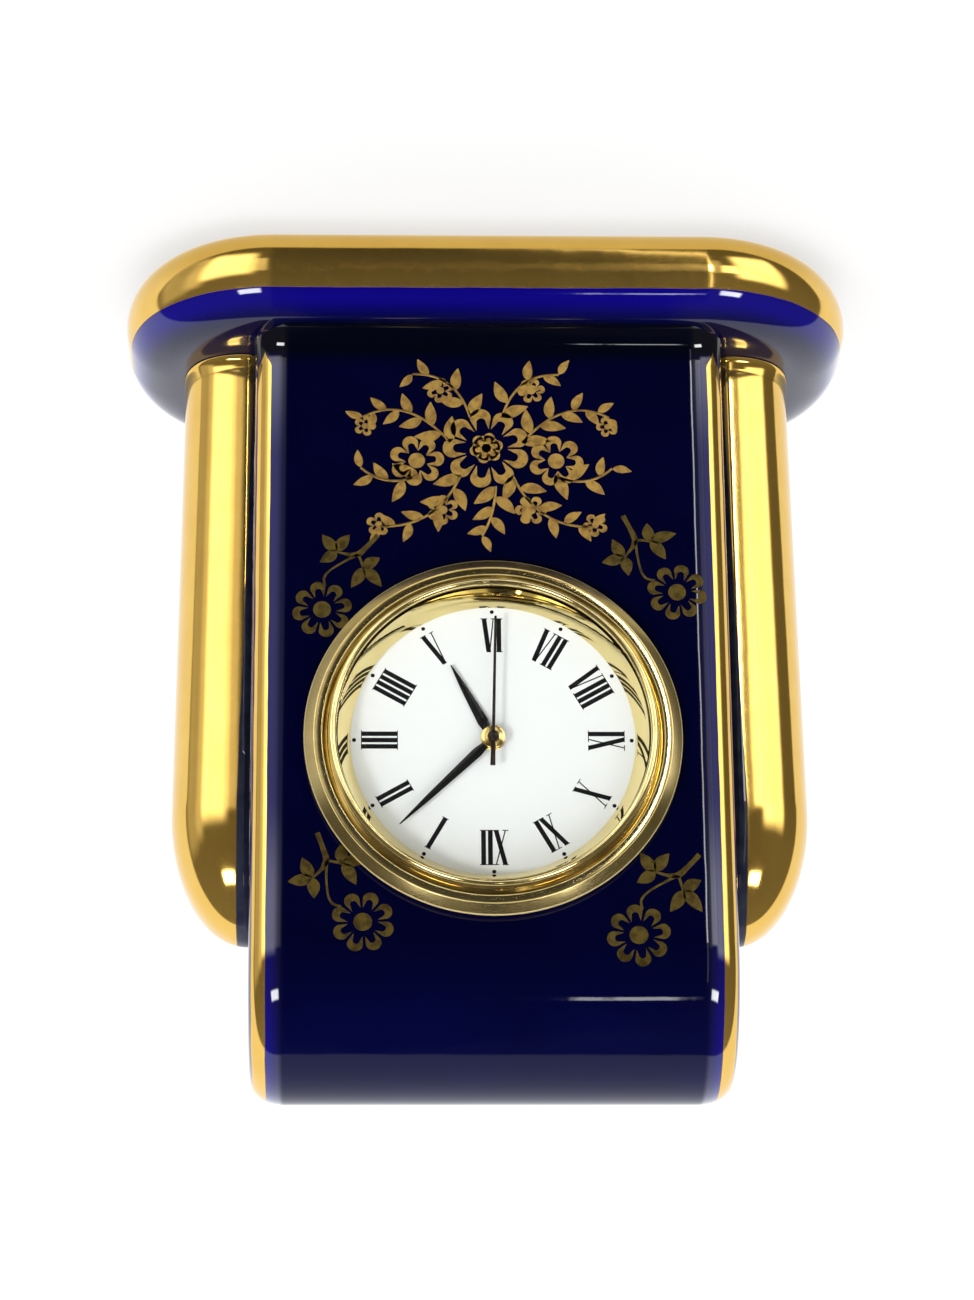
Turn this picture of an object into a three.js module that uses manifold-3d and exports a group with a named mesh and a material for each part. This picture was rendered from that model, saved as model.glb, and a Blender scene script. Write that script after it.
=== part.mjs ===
// Table clock: a glazed and gilded porcelain case that holds a round quartz clock insert.
// Millimetres, +Z up. The dial looks toward -Y and the origin lies under the middle of the base.

import * as THREE from "three";
import { mergeVertices } from "three/addons/utils/BufferGeometryUtils.js";
import Module from "manifold-3d";

const wasm = await Module();
wasm.setup();

// Porcelain case
const CASE_HEIGHT = 87.6;
const BODY_WIDTH = 47.4;
const BODY_DEPTH = 24;
const BODY_EDGE = 2.8;
const COVE = 2;
const PORCELAIN_WALL = 3.2;
const BASE_WIDTH = 74.6;
const BASE_DEPTH = 35.4;
const BASE_HEIGHT = 11;
const BASE_CORNER = 15.5;
const FOOT_RIM = 4;
const FOOT_RECESS = 1.2;
const VENT_RADIUS = 3;
const LUTE_GAP = 0.1;

// Gilded side columns
const COLUMN_HALF_WIDTH = 6.75;
const COLUMN_FOOT_HALF_WIDTH = 6.15;
const COLUMN_HALF_DEPTH = 7.7;
const COLUMN_STANDOFF = 1.3;
const COLUMN_TOP = 71.8;
const COLUMN_CAP = 13.2;
const COLUMN_TIP = 0.2;
const COLUMN_FLARE = 0.3;

// Clock insert, measured forward from the face of the case
const DIAL_HEIGHT = 54.6;
const BEZEL_RADIUS = 18.5;
const BEZEL_FOOT_RADIUS = 18.1;
const BEZEL_FLANGE = 2.1;
const BEZEL_FRONT = 3.05;
const BEZEL_STEP = 0.3;
const BEZEL_EDGE_ROUND = 0.25;
const BEZEL_RING_RADIUS = 16.3;
const BEZEL_SIGHT_RADIUS = 15.5;
const BARREL_RADIUS = 16.9;
const BARREL_WALL = 0.9;
const BARREL_DEPTH = 4;
const BEZEL_SEAT_GAP = 0.1;
const GRIP_DEPTH = 3;
const GRIP_RIBS = 24;
const GRIP_RIB_HEIGHT = 0.3;
const GRIP_THICKNESS = 0.2;
const SOCKET_CLEARANCE = 0.15;
const PRESS_GAP = 0.15;
const FACE_GAP = 0.05;
const CRYSTAL_THICKNESS = 0.85;
const CRYSTAL_TOP = 2.45;
const DIAL_FRONT = -0.2;
const DIAL_THICKNESS = 0.4;
const DIAL_SIGHT_RADIUS = 14.1;
const DIAL_RING_RIM = 0.45;
const HOUSING_WALL = 1;
const HOUSING_LEDGE = 0.85;
const HOUSING_BACK = -8.4;
const COVER_THICKNESS = 0.9;
const COVER_LIP = 0.6;
const COVER_LIP_WALL = 0.8;
const COVER_GAP = 0.1;

// Movement plates, measured from the face of the case
const PLATE_FRONT = -2.3;
const PLATE_THICKNESS = 1;
const PILLAR_RADIUS = 1.1;
const BRIDGE_FRONT = -7;
const BRIDGE_THICKNESS = 0.8;
const BRIDGE_ARM = 1.3;
const SCREW_RADIUS = 0.4;
const SCREW_LENGTH = 2.2;
const SCREW_HEAD_RADIUS = 0.9;
const SCREW_HEAD = 0.5;
const SCREW_GAP = 0.1;
const LEFT_PILLAR = { radius: 10, angle: 160 };
const RIGHT_PILLAR = { radius: 11.5, angle: 34 };
const LOWER_PILLAR = { radius: 7.3, angle: 278 };

// Gear teeth: sizes are shares of the module, as gear standards give them
const ADDENDUM = 0.8;
const DEDENDUM = 1.3;
const TIP_HALF_WIDTH = 0.2;
const ROOT_HALF_WIDTH = 0.62;
const ROOT_PITCH_SHARE = 0.9;

// Going train
const ROTOR_LEAVES = 6;
const INTERMEDIATE_TEETH = 36;
const ROTOR_MODULE = 0.15;
const INTERMEDIATE_LEAVES = 6;
const SECOND_TEETH = 30;
const SECOND_MODULE = 0.29;
const SECOND_LEAVES = 6;
const THIRD_TEETH = 45;
const THIRD_MODULE = 0.2;
const THIRD_LEAVES = 6;
const CENTRE_TEETH = 48;
const THIRD_ANGLE = 30;
const INTERMEDIATE_ANGLE = 160;
const ROTOR_ANGLE = 100;
const WHEEL_THICKNESS = 0.4;
const LEAF_LENGTH = 0.7;
const ARBOR_RADIUS = 0.2;
const PIVOT_GAP = 0.08;
const CENTRE_WHEEL_FRONT = -3.6;
const THIRD_WHEEL_FRONT = -4.5;
const SECOND_WHEEL_FRONT = -5.4;
const INTERMEDIATE_WHEEL_FRONT = -6.2;
const MAGNET_RADIUS = 1.4;
const MAGNET_FRONT = -4.2;
const MAGNET_LENGTH = 1.2;

// Motion work under the dial
const CANNON_LEAVES = 10;
const MINUTE_TEETH = 30;
const MOTION_MODULE = 0.25;
const MINUTE_LEAVES = 8;
const HOUR_TEETH = 32;
const MINUTE_WHEEL_ANGLE = 300;
const SETTING_ANGLE = 350;
const MINUTE_WHEEL_FRONT = -1.7;
const HOUR_WHEEL_FRONT = -0.9;
const PIPE_WALL = 0.15;
const CANNON_WALL = 0.15;
const HOUR_TUBE_WALL = 0.2;
const TUBE_GAP = 0.07;
const STUD_RADIUS = 0.4;
const SETTING_ARBOR_RADIUS = 0.5;
const KNOB_RADIUS = 3;
const KNOB_RIBS = 16;
const KNOB_RIB_HEIGHT = 0.25;
const KNOB_FRONT = -8.2;
const KNOB_LENGTH = 2.8;
const KNOB_CAP = 0.6;
const KNOB_HOLE_GAP = 0.4;

// Electric parts
const BATTERY_RADIUS = 4.75;
const BATTERY_THICKNESS = 3.6;
const BATTERY_RIM = 0.3;
const BATTERY_FRONT = -4;
const BATTERY_PLACE = { radius: 9.5, angle: 232 };
const CONTACT_THICKNESS = 0.2;
const CONTACT_HALF_WIDTH = 0.8;
const CONTACT_GAP = 0.1;
const BOARD_WIDTH = 7;
const BOARD_LENGTH = 3.4;
const BOARD_THICKNESS = 0.6;
const BOARD_FRONT = -4.05;
const BOARD_PLACE = { radius: 11.4, angle: 290 };
const CHIP_WIDTH = 3;
const CHIP_LENGTH = 1.5;
const CHIP_HEIGHT = 0.5;
const CAN_RADIUS = 0.75;
const CAN_LENGTH = 5;
const COIL_RADIUS = 1.5;
const COIL_LENGTH = 6.5;
const COIL_LEFT = { radius: 12.5, angle: 135 };
const COIL_RIGHT = { radius: 12.3, angle: 90 };
const CORE_HALF_WIDTH = 0.7;
const CORE_THICKNESS = 0.6;
const STATOR_RING = 1;
const STATOR_THICKNESS = 0.4;
const STATOR_FRONT = -4.45;
const STATOR_GAP = 0.35;

// Hands, with the clockwise angles that they rest at
const HOUR_LENGTH = 8.8;
const HOUR_WIDTH = 1.1;
const HOUR_ANGLE = 152.4;
const MINUTE_LENGTH = 12.8;
const MINUTE_WIDTH = 0.95;
const MINUTE_ANGLE = 45.5;
const SECOND_LENGTH = 12.6;
const SECOND_TAIL = 3.1;
const SECOND_WIDTH = 0.22;
const SECOND_TAIL_WIDTH = 0.5;
const SECOND_ANGLE = 181.5;
const HAND_SHOULDER = 2.1;
const HAND_THICKNESS = 0.2;
const COLLET_RADIUS = 1.2;
const COLLET_HEIGHT = 0.2;
const HOUR_HAND_FRONT = 0.2;
const MINUTE_HAND_FRONT = 0.7;
const SECOND_HAND_FRONT = 1.3;
const SECOND_CAP_RADIUS = 0.55;

// Facets of round pieces, and how far a cutting tool runs past what it cuts
const ROUND_FACETS = 40;
const SMALL_FACETS = 12;
const CORNER_FACETS = 6;
const CURVE_LEVELS = 6;
const OVERCUT = 1;

const FINISHES = {
  cobalt_glaze: { color: 0x08083c, roughness: 0.1, metalness: 0 },
  burnished_gold: { color: 0xd9a441, roughness: 0.15, metalness: 1 },
  brass: { color: 0xd6b56a, roughness: 0.22, metalness: 1 },
  dial_white: { color: 0xf4f5f3, roughness: 0.4, metalness: 0 },
  glass: { color: 0xf2f6f6, roughness: 0.05, metalness: 0 },
  black_paint: { color: 0x101012, roughness: 0.3, metalness: 0.2 },
  black_plastic: { color: 0x1c1c1e, roughness: 0.55, metalness: 0 },
  white_plastic: { color: 0xe9e6dc, roughness: 0.5, metalness: 0 },
  rubber: { color: 0x2a2a2a, roughness: 0.9, metalness: 0 },
  steel: { color: 0xb9bcc0, roughness: 0.3, metalness: 1 },
  copper: { color: 0xb5673a, roughness: 0.35, metalness: 1 },
  board_green: { color: 0x1f5a3a, roughness: 0.5, metalness: 0 },
};

// Values that follow from the sizes above
const half = (size) => size / 2;
const radians = THREE.MathUtils.degToRad;
const FACE_Y = -half(BODY_DEPTH);
const TOP_RADIUS = half(BODY_DEPTH);
const SIDE_X = half(BODY_WIDTH);
const BARREL_BORE = BARREL_RADIUS - BARREL_WALL;
const GRIP_RADIUS = BARREL_RADIUS + FACE_GAP + GRIP_THICKNESS + GRIP_RIB_HEIGHT;
const SOCKET_RADIUS = GRIP_RADIUS + SOCKET_CLEARANCE;
const INSERT_RADIUS = BARREL_BORE - PRESS_GAP;
const CRYSTAL_BACK = CRYSTAL_TOP - CRYSTAL_THICKNESS;
const DIAL_BACK = DIAL_FRONT - DIAL_THICKNESS;
const HOUSING_BORE = INSERT_RADIUS - HOUSING_WALL;
const PLATE_BACK = PLATE_FRONT - PLATE_THICKNESS;
const PLATE_RADIUS = HOUSING_BORE - PRESS_GAP;
const BRIDGE_BACK = BRIDGE_FRONT - BRIDGE_THICKNESS;
const COVER_FRONT = HOUSING_BACK - COVER_GAP;
const TRAIN_DISTANCE = half((SECOND_LEAVES + THIRD_TEETH) * THIRD_MODULE);
const CENTRE_MODULE = (2 * TRAIN_DISTANCE) / (THIRD_LEAVES + CENTRE_TEETH);
const INTERMEDIATE_DISTANCE = half((INTERMEDIATE_LEAVES + SECOND_TEETH) * SECOND_MODULE);
const ROTOR_DISTANCE = half((ROTOR_LEAVES + INTERMEDIATE_TEETH) * ROTOR_MODULE);
const MOTION_DISTANCE = half((CANNON_LEAVES + MINUTE_TEETH) * MOTION_MODULE);
const HOUR_MODULE = (2 * MOTION_DISTANCE) / (MINUTE_LEAVES + HOUR_TEETH);
const PIPE_BORE = ARBOR_RADIUS + TUBE_GAP;
const PIPE_RADIUS = PIPE_BORE + PIPE_WALL;
const CANNON_BORE = PIPE_RADIUS + TUBE_GAP;
const CANNON_RADIUS = CANNON_BORE + CANNON_WALL;
const HOUR_BORE = CANNON_RADIUS + TUBE_GAP;
const HOUR_TUBE_RADIUS = HOUR_BORE + HOUR_TUBE_WALL;
const SCREW_SEAT = BRIDGE_BACK - FACE_GAP;
const ARBOR_BACK = BRIDGE_BACK + FACE_GAP;
const ARBOR_FRONT = PLATE_FRONT - FACE_GAP;
const BOARD_BACK = BOARD_FRONT - BOARD_THICKNESS;
const CORE_FRONT = STATOR_FRONT - STATOR_THICKNESS - FACE_GAP;
const HOUR_TUBE_FRONT = HOUR_HAND_FRONT + FACE_GAP + COLLET_HEIGHT;
const CANNON_FRONT = MINUTE_HAND_FRONT + FACE_GAP + COLLET_HEIGHT;

// Places in the movement, seen from the front with X to the right and Y up
function polar(radius, angle, from = new THREE.Vector2()) {
  const turn = radians(angle);
  return new THREE.Vector2(Math.cos(turn), Math.sin(turn)).multiplyScalar(radius).add(from);
}

const CENTRE = new THREE.Vector2();
const THIRD = polar(TRAIN_DISTANCE, THIRD_ANGLE);
const INTERMEDIATE = polar(INTERMEDIATE_DISTANCE, INTERMEDIATE_ANGLE);
const ROTOR = polar(ROTOR_DISTANCE, ROTOR_ANGLE, INTERMEDIATE);
const MINUTE_WHEEL = polar(MOTION_DISTANCE, MINUTE_WHEEL_ANGLE);
const SETTING = polar(MOTION_DISTANCE, SETTING_ANGLE, MINUTE_WHEEL);
const [LEFT_POST, RIGHT_POST, LOWER_POST, BATTERY, BOARD, COIL_START, COIL_END] = [
  LEFT_PILLAR,
  RIGHT_PILLAR,
  LOWER_PILLAR,
  BATTERY_PLACE,
  BOARD_PLACE,
  COIL_LEFT,
  COIL_RIGHT,
].map((place) => polar(place.radius, place.angle));
const POSTS = [LEFT_POST, RIGHT_POST, LOWER_POST];

// The board's corner by the battery, where both contacts end
const CONTACT_END = new THREE.Vector2(-half(BOARD_WIDTH), -half(BOARD_LENGTH))
  .addScalar(CONTACT_HALF_WIDTH)
  .add(BOARD);

// A closed geometry as a solid that can be joined and cut
function solid(geometry) {
  const bare = new THREE.BufferGeometry();
  bare.setAttribute("position", geometry.getAttribute("position"));
  bare.setIndex(geometry.index);
  const merged = mergeVertices(bare);
  return new wasm.Manifold(
    new wasm.Mesh({
      numProp: 3,
      vertProperties: new Float32Array(merged.getAttribute("position").array),
      triVerts: new Uint32Array(merged.index.array),
    }),
  );
}

// The geometry of a solid after joining and cutting
function geometryOf(body) {
  const mesh = body.getMesh();
  const geometry = new THREE.BufferGeometry();
  geometry.setAttribute("position", new THREE.BufferAttribute(mesh.vertProperties, 3));
  geometry.setIndex(new THREE.BufferAttribute(mesh.triVerts, 1));
  geometry.computeVertexNormals();
  return geometry;
}

function join(...geometries) {
  return geometryOf(geometries.map(solid).reduce((sum, next) => sum.add(next)));
}

function cut(geometry, ...tools) {
  return geometryOf(tools.map(solid).reduce((rest, tool) => rest.subtract(tool), solid(geometry)));
}

// A body turned round Z from a profile of [radius, height] pairs that runs anticlockwise
function turned(profile, facets = ROUND_FACETS) {
  const points = profile.map(([radius, height]) => new THREE.Vector2(radius, height));
  return new THREE.LatheGeometry(points, facets).rotateX(half(Math.PI));
}

function ring(outer, inner, back, front, facets = ROUND_FACETS) {
  const profile = [
    [inner, back],
    [outer, back],
    [outer, front],
    [inner, front],
    [inner, back],
  ];
  return turned(profile, facets);
}

function rod(radius, back, front, place = CENTRE, facets = SMALL_FACETS) {
  const geometry = new THREE.CylinderGeometry(radius, radius, front - back, facets);
  return geometry.rotateX(half(Math.PI)).translate(place.x, place.y, half(front + back));
}

// A block between two heights, from its size and the place of its middle
function block(width, length, back, front, place = CENTRE) {
  const geometry = new THREE.BoxGeometry(width, length, front - back);
  return geometry.translate(place.x, place.y, half(front + back));
}

function extruded(shape, back, front) {
  const options = { depth: front - back, bevelEnabled: false, curveSegments: CORNER_FACETS };
  return new THREE.ExtrudeGeometry(shape, options).translate(0, 0, back);
}

// A flat bar with round ends from one place to another
function bar(start, end, halfWidth, back, front) {
  const along = end.clone().sub(start).angle();
  const shape = new THREE.Shape();
  const quarter = half(Math.PI);
  shape.absarc(start.x, start.y, halfWidth, along + quarter, along + 3 * quarter);
  shape.absarc(end.x, end.y, halfWidth, along - quarter, along + quarter);
  return extruded(shape, back, front);
}

function roundedRectangle(halfWidth, halfLength, corner) {
  const shape = new THREE.Shape();
  const x = halfWidth - corner;
  const y = halfLength - corner;
  const quarter = half(Math.PI);
  shape.absarc(x, y, corner, 0, quarter);
  shape.absarc(-x, y, corner, quarter, 2 * quarter);
  shape.absarc(-x, -y, corner, 2 * quarter, 3 * quarter);
  shape.absarc(x, -y, corner, 3 * quarter, 4 * quarter);
  return shape;
}

// A closed skin over level outlines of equal point counts, lowest first
function loft(levels) {
  const count = levels[0].outline.length;
  const positions = levels.flatMap(({ outline, height }) => outline.flatMap((p) => [p.x, p.y, height]));
  const indices = [];
  for (let level = 0; level < levels.length - 1; level += 1) {
    for (let i = 0; i < count; i += 1) {
      const next = (i + 1) % count;
      const lower = level * count;
      const upper = lower + count;
      indices.push(lower + i, lower + next, upper + next);
      indices.push(lower + i, upper + next, upper + i);
    }
  }
  const last = (levels.length - 1) * count;
  for (let i = 1; i < count - 1; i += 1) {
    indices.push(0, i + 1, i);
    indices.push(last, last + i, last + i + 1);
  }
  const geometry = new THREE.BufferGeometry();
  geometry.setAttribute("position", new THREE.Float32BufferAttribute(positions, 3));
  geometry.setIndex(indices);
  return geometry;
}

// Even steps from 0 to 1
function steps(count) {
  return Array.from({ length: count + 1 }, (_, i) => i / count);
}

// How far a cove of one radius stands out at a height above its foot
function coveReach(radius, height) {
  return radius - Math.sqrt(radius ** 2 - (radius - height) ** 2);
}

// Outline of a toothed wheel whose first tooth stands at the angle phase
function gearShape(teeth, module, phase) {
  const root = half(teeth * module) - DEDENDUM * module;
  const tip = half(teeth * module) + ADDENDUM * module;
  const rootTurn = Math.min((ROOT_HALF_WIDTH * module) / root, (ROOT_PITCH_SHARE * Math.PI) / teeth);
  const tipTurn = (TIP_HALF_WIDTH * module) / tip;
  const points = [];
  for (let i = 0; i < teeth; i += 1) {
    const middle = phase + (2 * Math.PI * i) / teeth;
    const corners = [
      [root, middle - rootTurn],
      [tip, middle - tipTurn],
      [tip, middle + tipTurn],
      [root, middle + rootTurn],
    ];
    corners.forEach(([radius, turn]) => {
      points.push(new THREE.Vector2(radius * Math.cos(turn), radius * Math.sin(turn)));
    });
  }
  return new THREE.Shape(points);
}

function gear(teeth, module, phase, back, front) {
  return extruded(gearShape(teeth, module, phase), back, front);
}

// Phase of a driven wheel whose gap meets the driver's tooth on the line of centres
function meshPhase(teeth, phase, line, drivenTeeth) {
  const turn = 2 * Math.PI;
  const share = ((line - phase) * teeth) / turn;
  return line + Math.PI - ((0.5 - share) * turn) / drivenTeeth;
}

function directionTo(from, to) {
  return to.clone().sub(from).angle();
}

// A round grip with ribs along it
function ribbed(radius, ribHeight, ribs, back, front) {
  const points = [];
  const root = radius - ribHeight;
  for (let i = 0; i < 4 * ribs; i += 1) {
    const turn = (2 * Math.PI * i) / (4 * ribs);
    const reach = i % 4 < 2 ? radius : root;
    points.push(new THREE.Vector2(reach * Math.cos(turn), reach * Math.sin(turn)));
  }
  return extruded(new THREE.Shape(points), back, front);
}

// Porcelain body: a round-topped slab, hollow, with a socket for the insert in its front
function caseBody() {
  const bottom = BASE_HEIGHT + LUTE_GAP;
  const archCentre = CASE_HEIGHT - TOP_RADIUS;
  const profile = (halfDepth, foot) => {
    const shape = new THREE.Shape();
    shape.moveTo(-halfDepth, foot);
    shape.lineTo(halfDepth, foot);
    shape.absarc(0, archCentre, halfDepth, 0, Math.PI);
    return shape;
  };
  const upright = new THREE.Matrix4().makeBasis(
    new THREE.Vector3(0, 1, 0),
    new THREE.Vector3(0, 0, 1),
    new THREE.Vector3(1, 0, 0),
  );
  const sunkFoot = bottom - 2 * BODY_EDGE;
  const straight = BODY_WIDTH - 2 * BODY_EDGE;
  const slab = new THREE.ExtrudeGeometry(profile(half(BODY_DEPTH), sunkFoot), {
    depth: straight,
    bevelThickness: BODY_EDGE,
    bevelSize: BODY_EDGE,
    bevelOffset: -BODY_EDGE,
    bevelSegments: CURVE_LEVELS,
    curveSegments: 2 * CORNER_FACETS,
  });
  slab.translate(0, 0, -half(straight)).applyMatrix4(upright);
  const foot = loft(
    steps(CURVE_LEVELS).map((share) => {
      const reach = coveReach(COVE, share * COVE);
      const outline = roundedRectangle(SIDE_X - LUTE_GAP, half(BODY_DEPTH) + reach, BODY_EDGE);
      return { outline: outline.getPoints(CORNER_FACETS), height: bottom + share * COVE };
    }),
  );
  const below = block(BASE_WIDTH, BASE_DEPTH, -CASE_HEIGHT, bottom);
  const hollowWidth = BODY_WIDTH - 2 * PORCELAIN_WALL;
  const hollow = new THREE.ExtrudeGeometry(profile(half(BODY_DEPTH) - PORCELAIN_WALL, sunkFoot), {
    depth: hollowWidth,
    bevelEnabled: false,
    curveSegments: CORNER_FACETS,
  });
  hollow.translate(0, 0, -half(hollowWidth)).applyMatrix4(upright);
  const socket = rod(SOCKET_RADIUS, -half(BODY_DEPTH), COVE + OVERCUT, CENTRE, ROUND_FACETS);
  socket.rotateX(half(Math.PI)).translate(0, FACE_Y, DIAL_HEIGHT);
  return cut(join(slab, foot), below, hollow, socket);
}

// Porcelain base: a slab with a full round edge, hollow, on a foot rim
function caseBase() {
  const round = half(BASE_HEIGHT);
  const levels = steps(2 * CURVE_LEVELS).map((share) => {
    const turn = Math.PI * (share - 0.5);
    const inset = round * (1 - Math.cos(turn));
    const outline = roundedRectangle(
      half(BASE_WIDTH) - inset,
      half(BASE_DEPTH) - inset,
      BASE_CORNER - inset,
    );
    return { outline: outline.getPoints(CORNER_FACETS), height: round * (1 + Math.sin(turn)) };
  });
  const rim = round + FOOT_RIM;
  const recess = roundedRectangle(half(BASE_WIDTH) - rim, half(BASE_DEPTH) - rim, BASE_CORNER - rim);
  const hollowX = SIDE_X - PORCELAIN_WALL;
  const hollowY = half(BODY_DEPTH) - PORCELAIN_WALL;
  const hollow = roundedRectangle(hollowX, hollowY, BODY_EDGE);
  return cut(
    loft(levels),
    extruded(recess, -OVERCUT, FOOT_RECESS),
    extruded(hollow, FOOT_RECESS + PORCELAIN_WALL, BASE_HEIGHT + OVERCUT),
    rod(VENT_RADIUS, 0, BASE_HEIGHT),
  );
}

// Side column: an oval shaft that widens up from a flared foot and draws in to the wall at its top
function column(side) {
  const foot = BASE_HEIGHT + LUTE_GAP;
  const capStart = COLUMN_TOP - COLUMN_CAP;
  const section = (scale, halfWidth, halfDepth, height) => {
    const middle = side * (SIDE_X + scale * COLUMN_STANDOFF);
    const oval = new THREE.EllipseCurve(middle, 0, scale * halfWidth, scale * halfDepth);
    return { outline: oval.getPoints(4 * CORNER_FACETS).slice(0, -1), height };
  };
  const flare = steps(CURVE_LEVELS).map((share) => {
    const reach = coveReach(COLUMN_FLARE, share * COLUMN_FLARE);
    const height = foot + share * COLUMN_FLARE;
    return section(1, COLUMN_FOOT_HALF_WIDTH + reach, COLUMN_HALF_DEPTH + reach, height);
  });
  const cap = steps(CURVE_LEVELS).map((share) => {
    const turn = share * Math.acos(COLUMN_TIP / COLUMN_HALF_WIDTH);
    const height = capStart + COLUMN_CAP * Math.sin(turn);
    return section(Math.cos(turn), COLUMN_HALF_WIDTH, COLUMN_HALF_DEPTH, height);
  });
  const shaft = loft([...flare, ...cap]);
  const wall = new THREE.BoxGeometry(BODY_WIDTH, BASE_DEPTH, 2 * CASE_HEIGHT);
  return cut(shaft, wall.translate(side * LUTE_GAP, 0, 0));
}

// Bezel: a stepped flange on the face, a raised sight ring and a barrel in the socket
function bezel() {
  return turned([
    [BARREL_BORE, -BARREL_DEPTH],
    [BARREL_RADIUS, -BARREL_DEPTH],
    [BARREL_RADIUS, BEZEL_SEAT_GAP],
    [BEZEL_FOOT_RADIUS, BEZEL_SEAT_GAP],
    [BEZEL_RADIUS, BEZEL_FLANGE - BEZEL_EDGE_ROUND],
    [BEZEL_RADIUS - BEZEL_EDGE_ROUND, BEZEL_FLANGE],
    [BEZEL_RING_RADIUS + BEZEL_STEP, BEZEL_FLANGE],
    [BEZEL_RING_RADIUS, BEZEL_FRONT - BEZEL_EDGE_ROUND],
    [half(BEZEL_RING_RADIUS + BEZEL_SIGHT_RADIUS), BEZEL_FRONT],
    [BEZEL_SIGHT_RADIUS, BEZEL_FRONT - BEZEL_EDGE_ROUND],
    [BEZEL_SIGHT_RADIUS, CRYSTAL_TOP + FACE_GAP],
    [BARREL_BORE, CRYSTAL_TOP + FACE_GAP],
    [BARREL_BORE, -BARREL_DEPTH],
  ]);
}

// Grip ring: a ribbed sleeve that holds the barrel in the socket
function gripRing() {
  const front = BEZEL_SEAT_GAP - GRIP_THICKNESS;
  const sleeve = ribbed(GRIP_RADIUS, GRIP_RIB_HEIGHT, GRIP_RIBS, front - GRIP_DEPTH, front);
  return cut(sleeve, rod(BARREL_RADIUS + FACE_GAP, -BARREL_DEPTH, OVERCUT, CENTRE, ROUND_FACETS));
}

// Dial ring: a polished cone between the crystal and the dial
function dialRing() {
  const back = DIAL_FRONT + FACE_GAP;
  const front = CRYSTAL_BACK - FACE_GAP;
  return turned([
    [DIAL_SIGHT_RADIUS, back],
    [INSERT_RADIUS, back],
    [INSERT_RADIUS, front],
    [INSERT_RADIUS - DIAL_RING_RIM, front],
    [DIAL_SIGHT_RADIUS, back],
  ]);
}

function dial() {
  return ring(INSERT_RADIUS, HOUR_TUBE_RADIUS + TUBE_GAP, DIAL_BACK, DIAL_FRONT);
}

// Housing: the cup wall behind the dial, with a ledge that the main plate seats on
function housing() {
  const front = DIAL_BACK - FACE_GAP;
  const ledge = PLATE_FRONT + FACE_GAP;
  return turned([
    [HOUSING_BORE, HOUSING_BACK],
    [INSERT_RADIUS, HOUSING_BACK],
    [INSERT_RADIUS, front],
    [HOUSING_BORE - HOUSING_LEDGE, front],
    [HOUSING_BORE - HOUSING_LEDGE, ledge],
    [HOUSING_BORE, ledge],
    [HOUSING_BORE, HOUSING_BACK],
  ]);
}

// Back cover: a snap-on lid with a hole for the setting knob
function backCover() {
  const lip = HOUSING_BORE - COVER_GAP;
  const lid = turned([
    [0, COVER_FRONT - COVER_THICKNESS],
    [INSERT_RADIUS, COVER_FRONT - COVER_THICKNESS],
    [INSERT_RADIUS, COVER_FRONT],
    [lip, COVER_FRONT],
    [lip, COVER_FRONT + COVER_LIP],
    [lip - COVER_LIP_WALL, COVER_FRONT + COVER_LIP],
    [lip - COVER_LIP_WALL, COVER_FRONT],
    [0, COVER_FRONT],
  ]);
  const hole = KNOB_RADIUS + KNOB_HOLE_GAP;
  return cut(lid, rod(hole, 2 * COVER_FRONT, 0, SETTING, half(ROUND_FACETS)));
}

// Main plate: carries the pivots, the pillars of the bridge and the minute wheel's stud
function mainPlate() {
  const plate = rod(PLATE_RADIUS, PLATE_BACK, PLATE_FRONT, CENTRE, ROUND_FACETS);
  const pillars = POSTS.map((post) => rod(PILLAR_RADIUS, BRIDGE_FRONT + FACE_GAP, PLATE_FRONT, post));
  const stud = rod(STUD_RADIUS, PLATE_BACK, HOUR_WHEEL_FRONT, MINUTE_WHEEL);
  const pivotHole = ARBOR_RADIUS + PIVOT_GAP;
  const holeBack = PLATE_BACK - OVERCUT;
  const pivots = [THIRD, INTERMEDIATE, ROTOR].map((place) => rod(pivotHole, holeBack, 0, place));
  const threads = POSTS.map((post) => rod(SCREW_RADIUS + SCREW_GAP, 2 * BRIDGE_FRONT, PLATE_BACK, post));
  return cut(
    join(plate, ...pillars, stud),
    rod(PIPE_RADIUS + PIVOT_GAP, holeBack, 0),
    rod(SETTING_ARBOR_RADIUS + PIVOT_GAP, holeBack, 0, SETTING),
    ...pivots,
    ...threads,
  );
}

// Train bridge: arms over the wheels, held down on the pillars
function trainBridge() {
  const arms = [...POSTS, ROTOR].map((end) => bar(CENTRE, end, BRIDGE_ARM, BRIDGE_BACK, BRIDGE_FRONT));
  const settingArm = bar(LOWER_POST, SETTING, BRIDGE_ARM, BRIDGE_BACK, BRIDGE_FRONT);
  const pivotHole = ARBOR_RADIUS + PIVOT_GAP;
  const through = (radius, place) => rod(radius, BRIDGE_BACK - OVERCUT, BRIDGE_FRONT + OVERCUT, place);
  const pivots = [CENTRE, THIRD, INTERMEDIATE, ROTOR].map((place) => through(pivotHole, place));
  const threads = POSTS.map((post) => through(SCREW_RADIUS + SCREW_GAP, post));
  const setting = through(SETTING_ARBOR_RADIUS + PIVOT_GAP, SETTING);
  return cut(join(...arms, settingArm), ...pivots, ...threads, setting);
}

function bridgeScrew(post) {
  const head = turned(
    [
      [0, -SCREW_HEAD],
      [SCREW_HEAD_RADIUS, -SCREW_HEAD],
      [SCREW_HEAD_RADIUS, 0],
      [SCREW_RADIUS, 0],
      [SCREW_RADIUS, SCREW_LENGTH],
      [0, SCREW_LENGTH],
    ],
    SMALL_FACETS,
  );
  const slot = block(4 * SCREW_HEAD_RADIUS, SCREW_RADIUS, -2 * SCREW_HEAD, -half(SCREW_HEAD));
  return cut(head, slot).translate(post.x, post.y, SCREW_SEAT);
}

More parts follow.
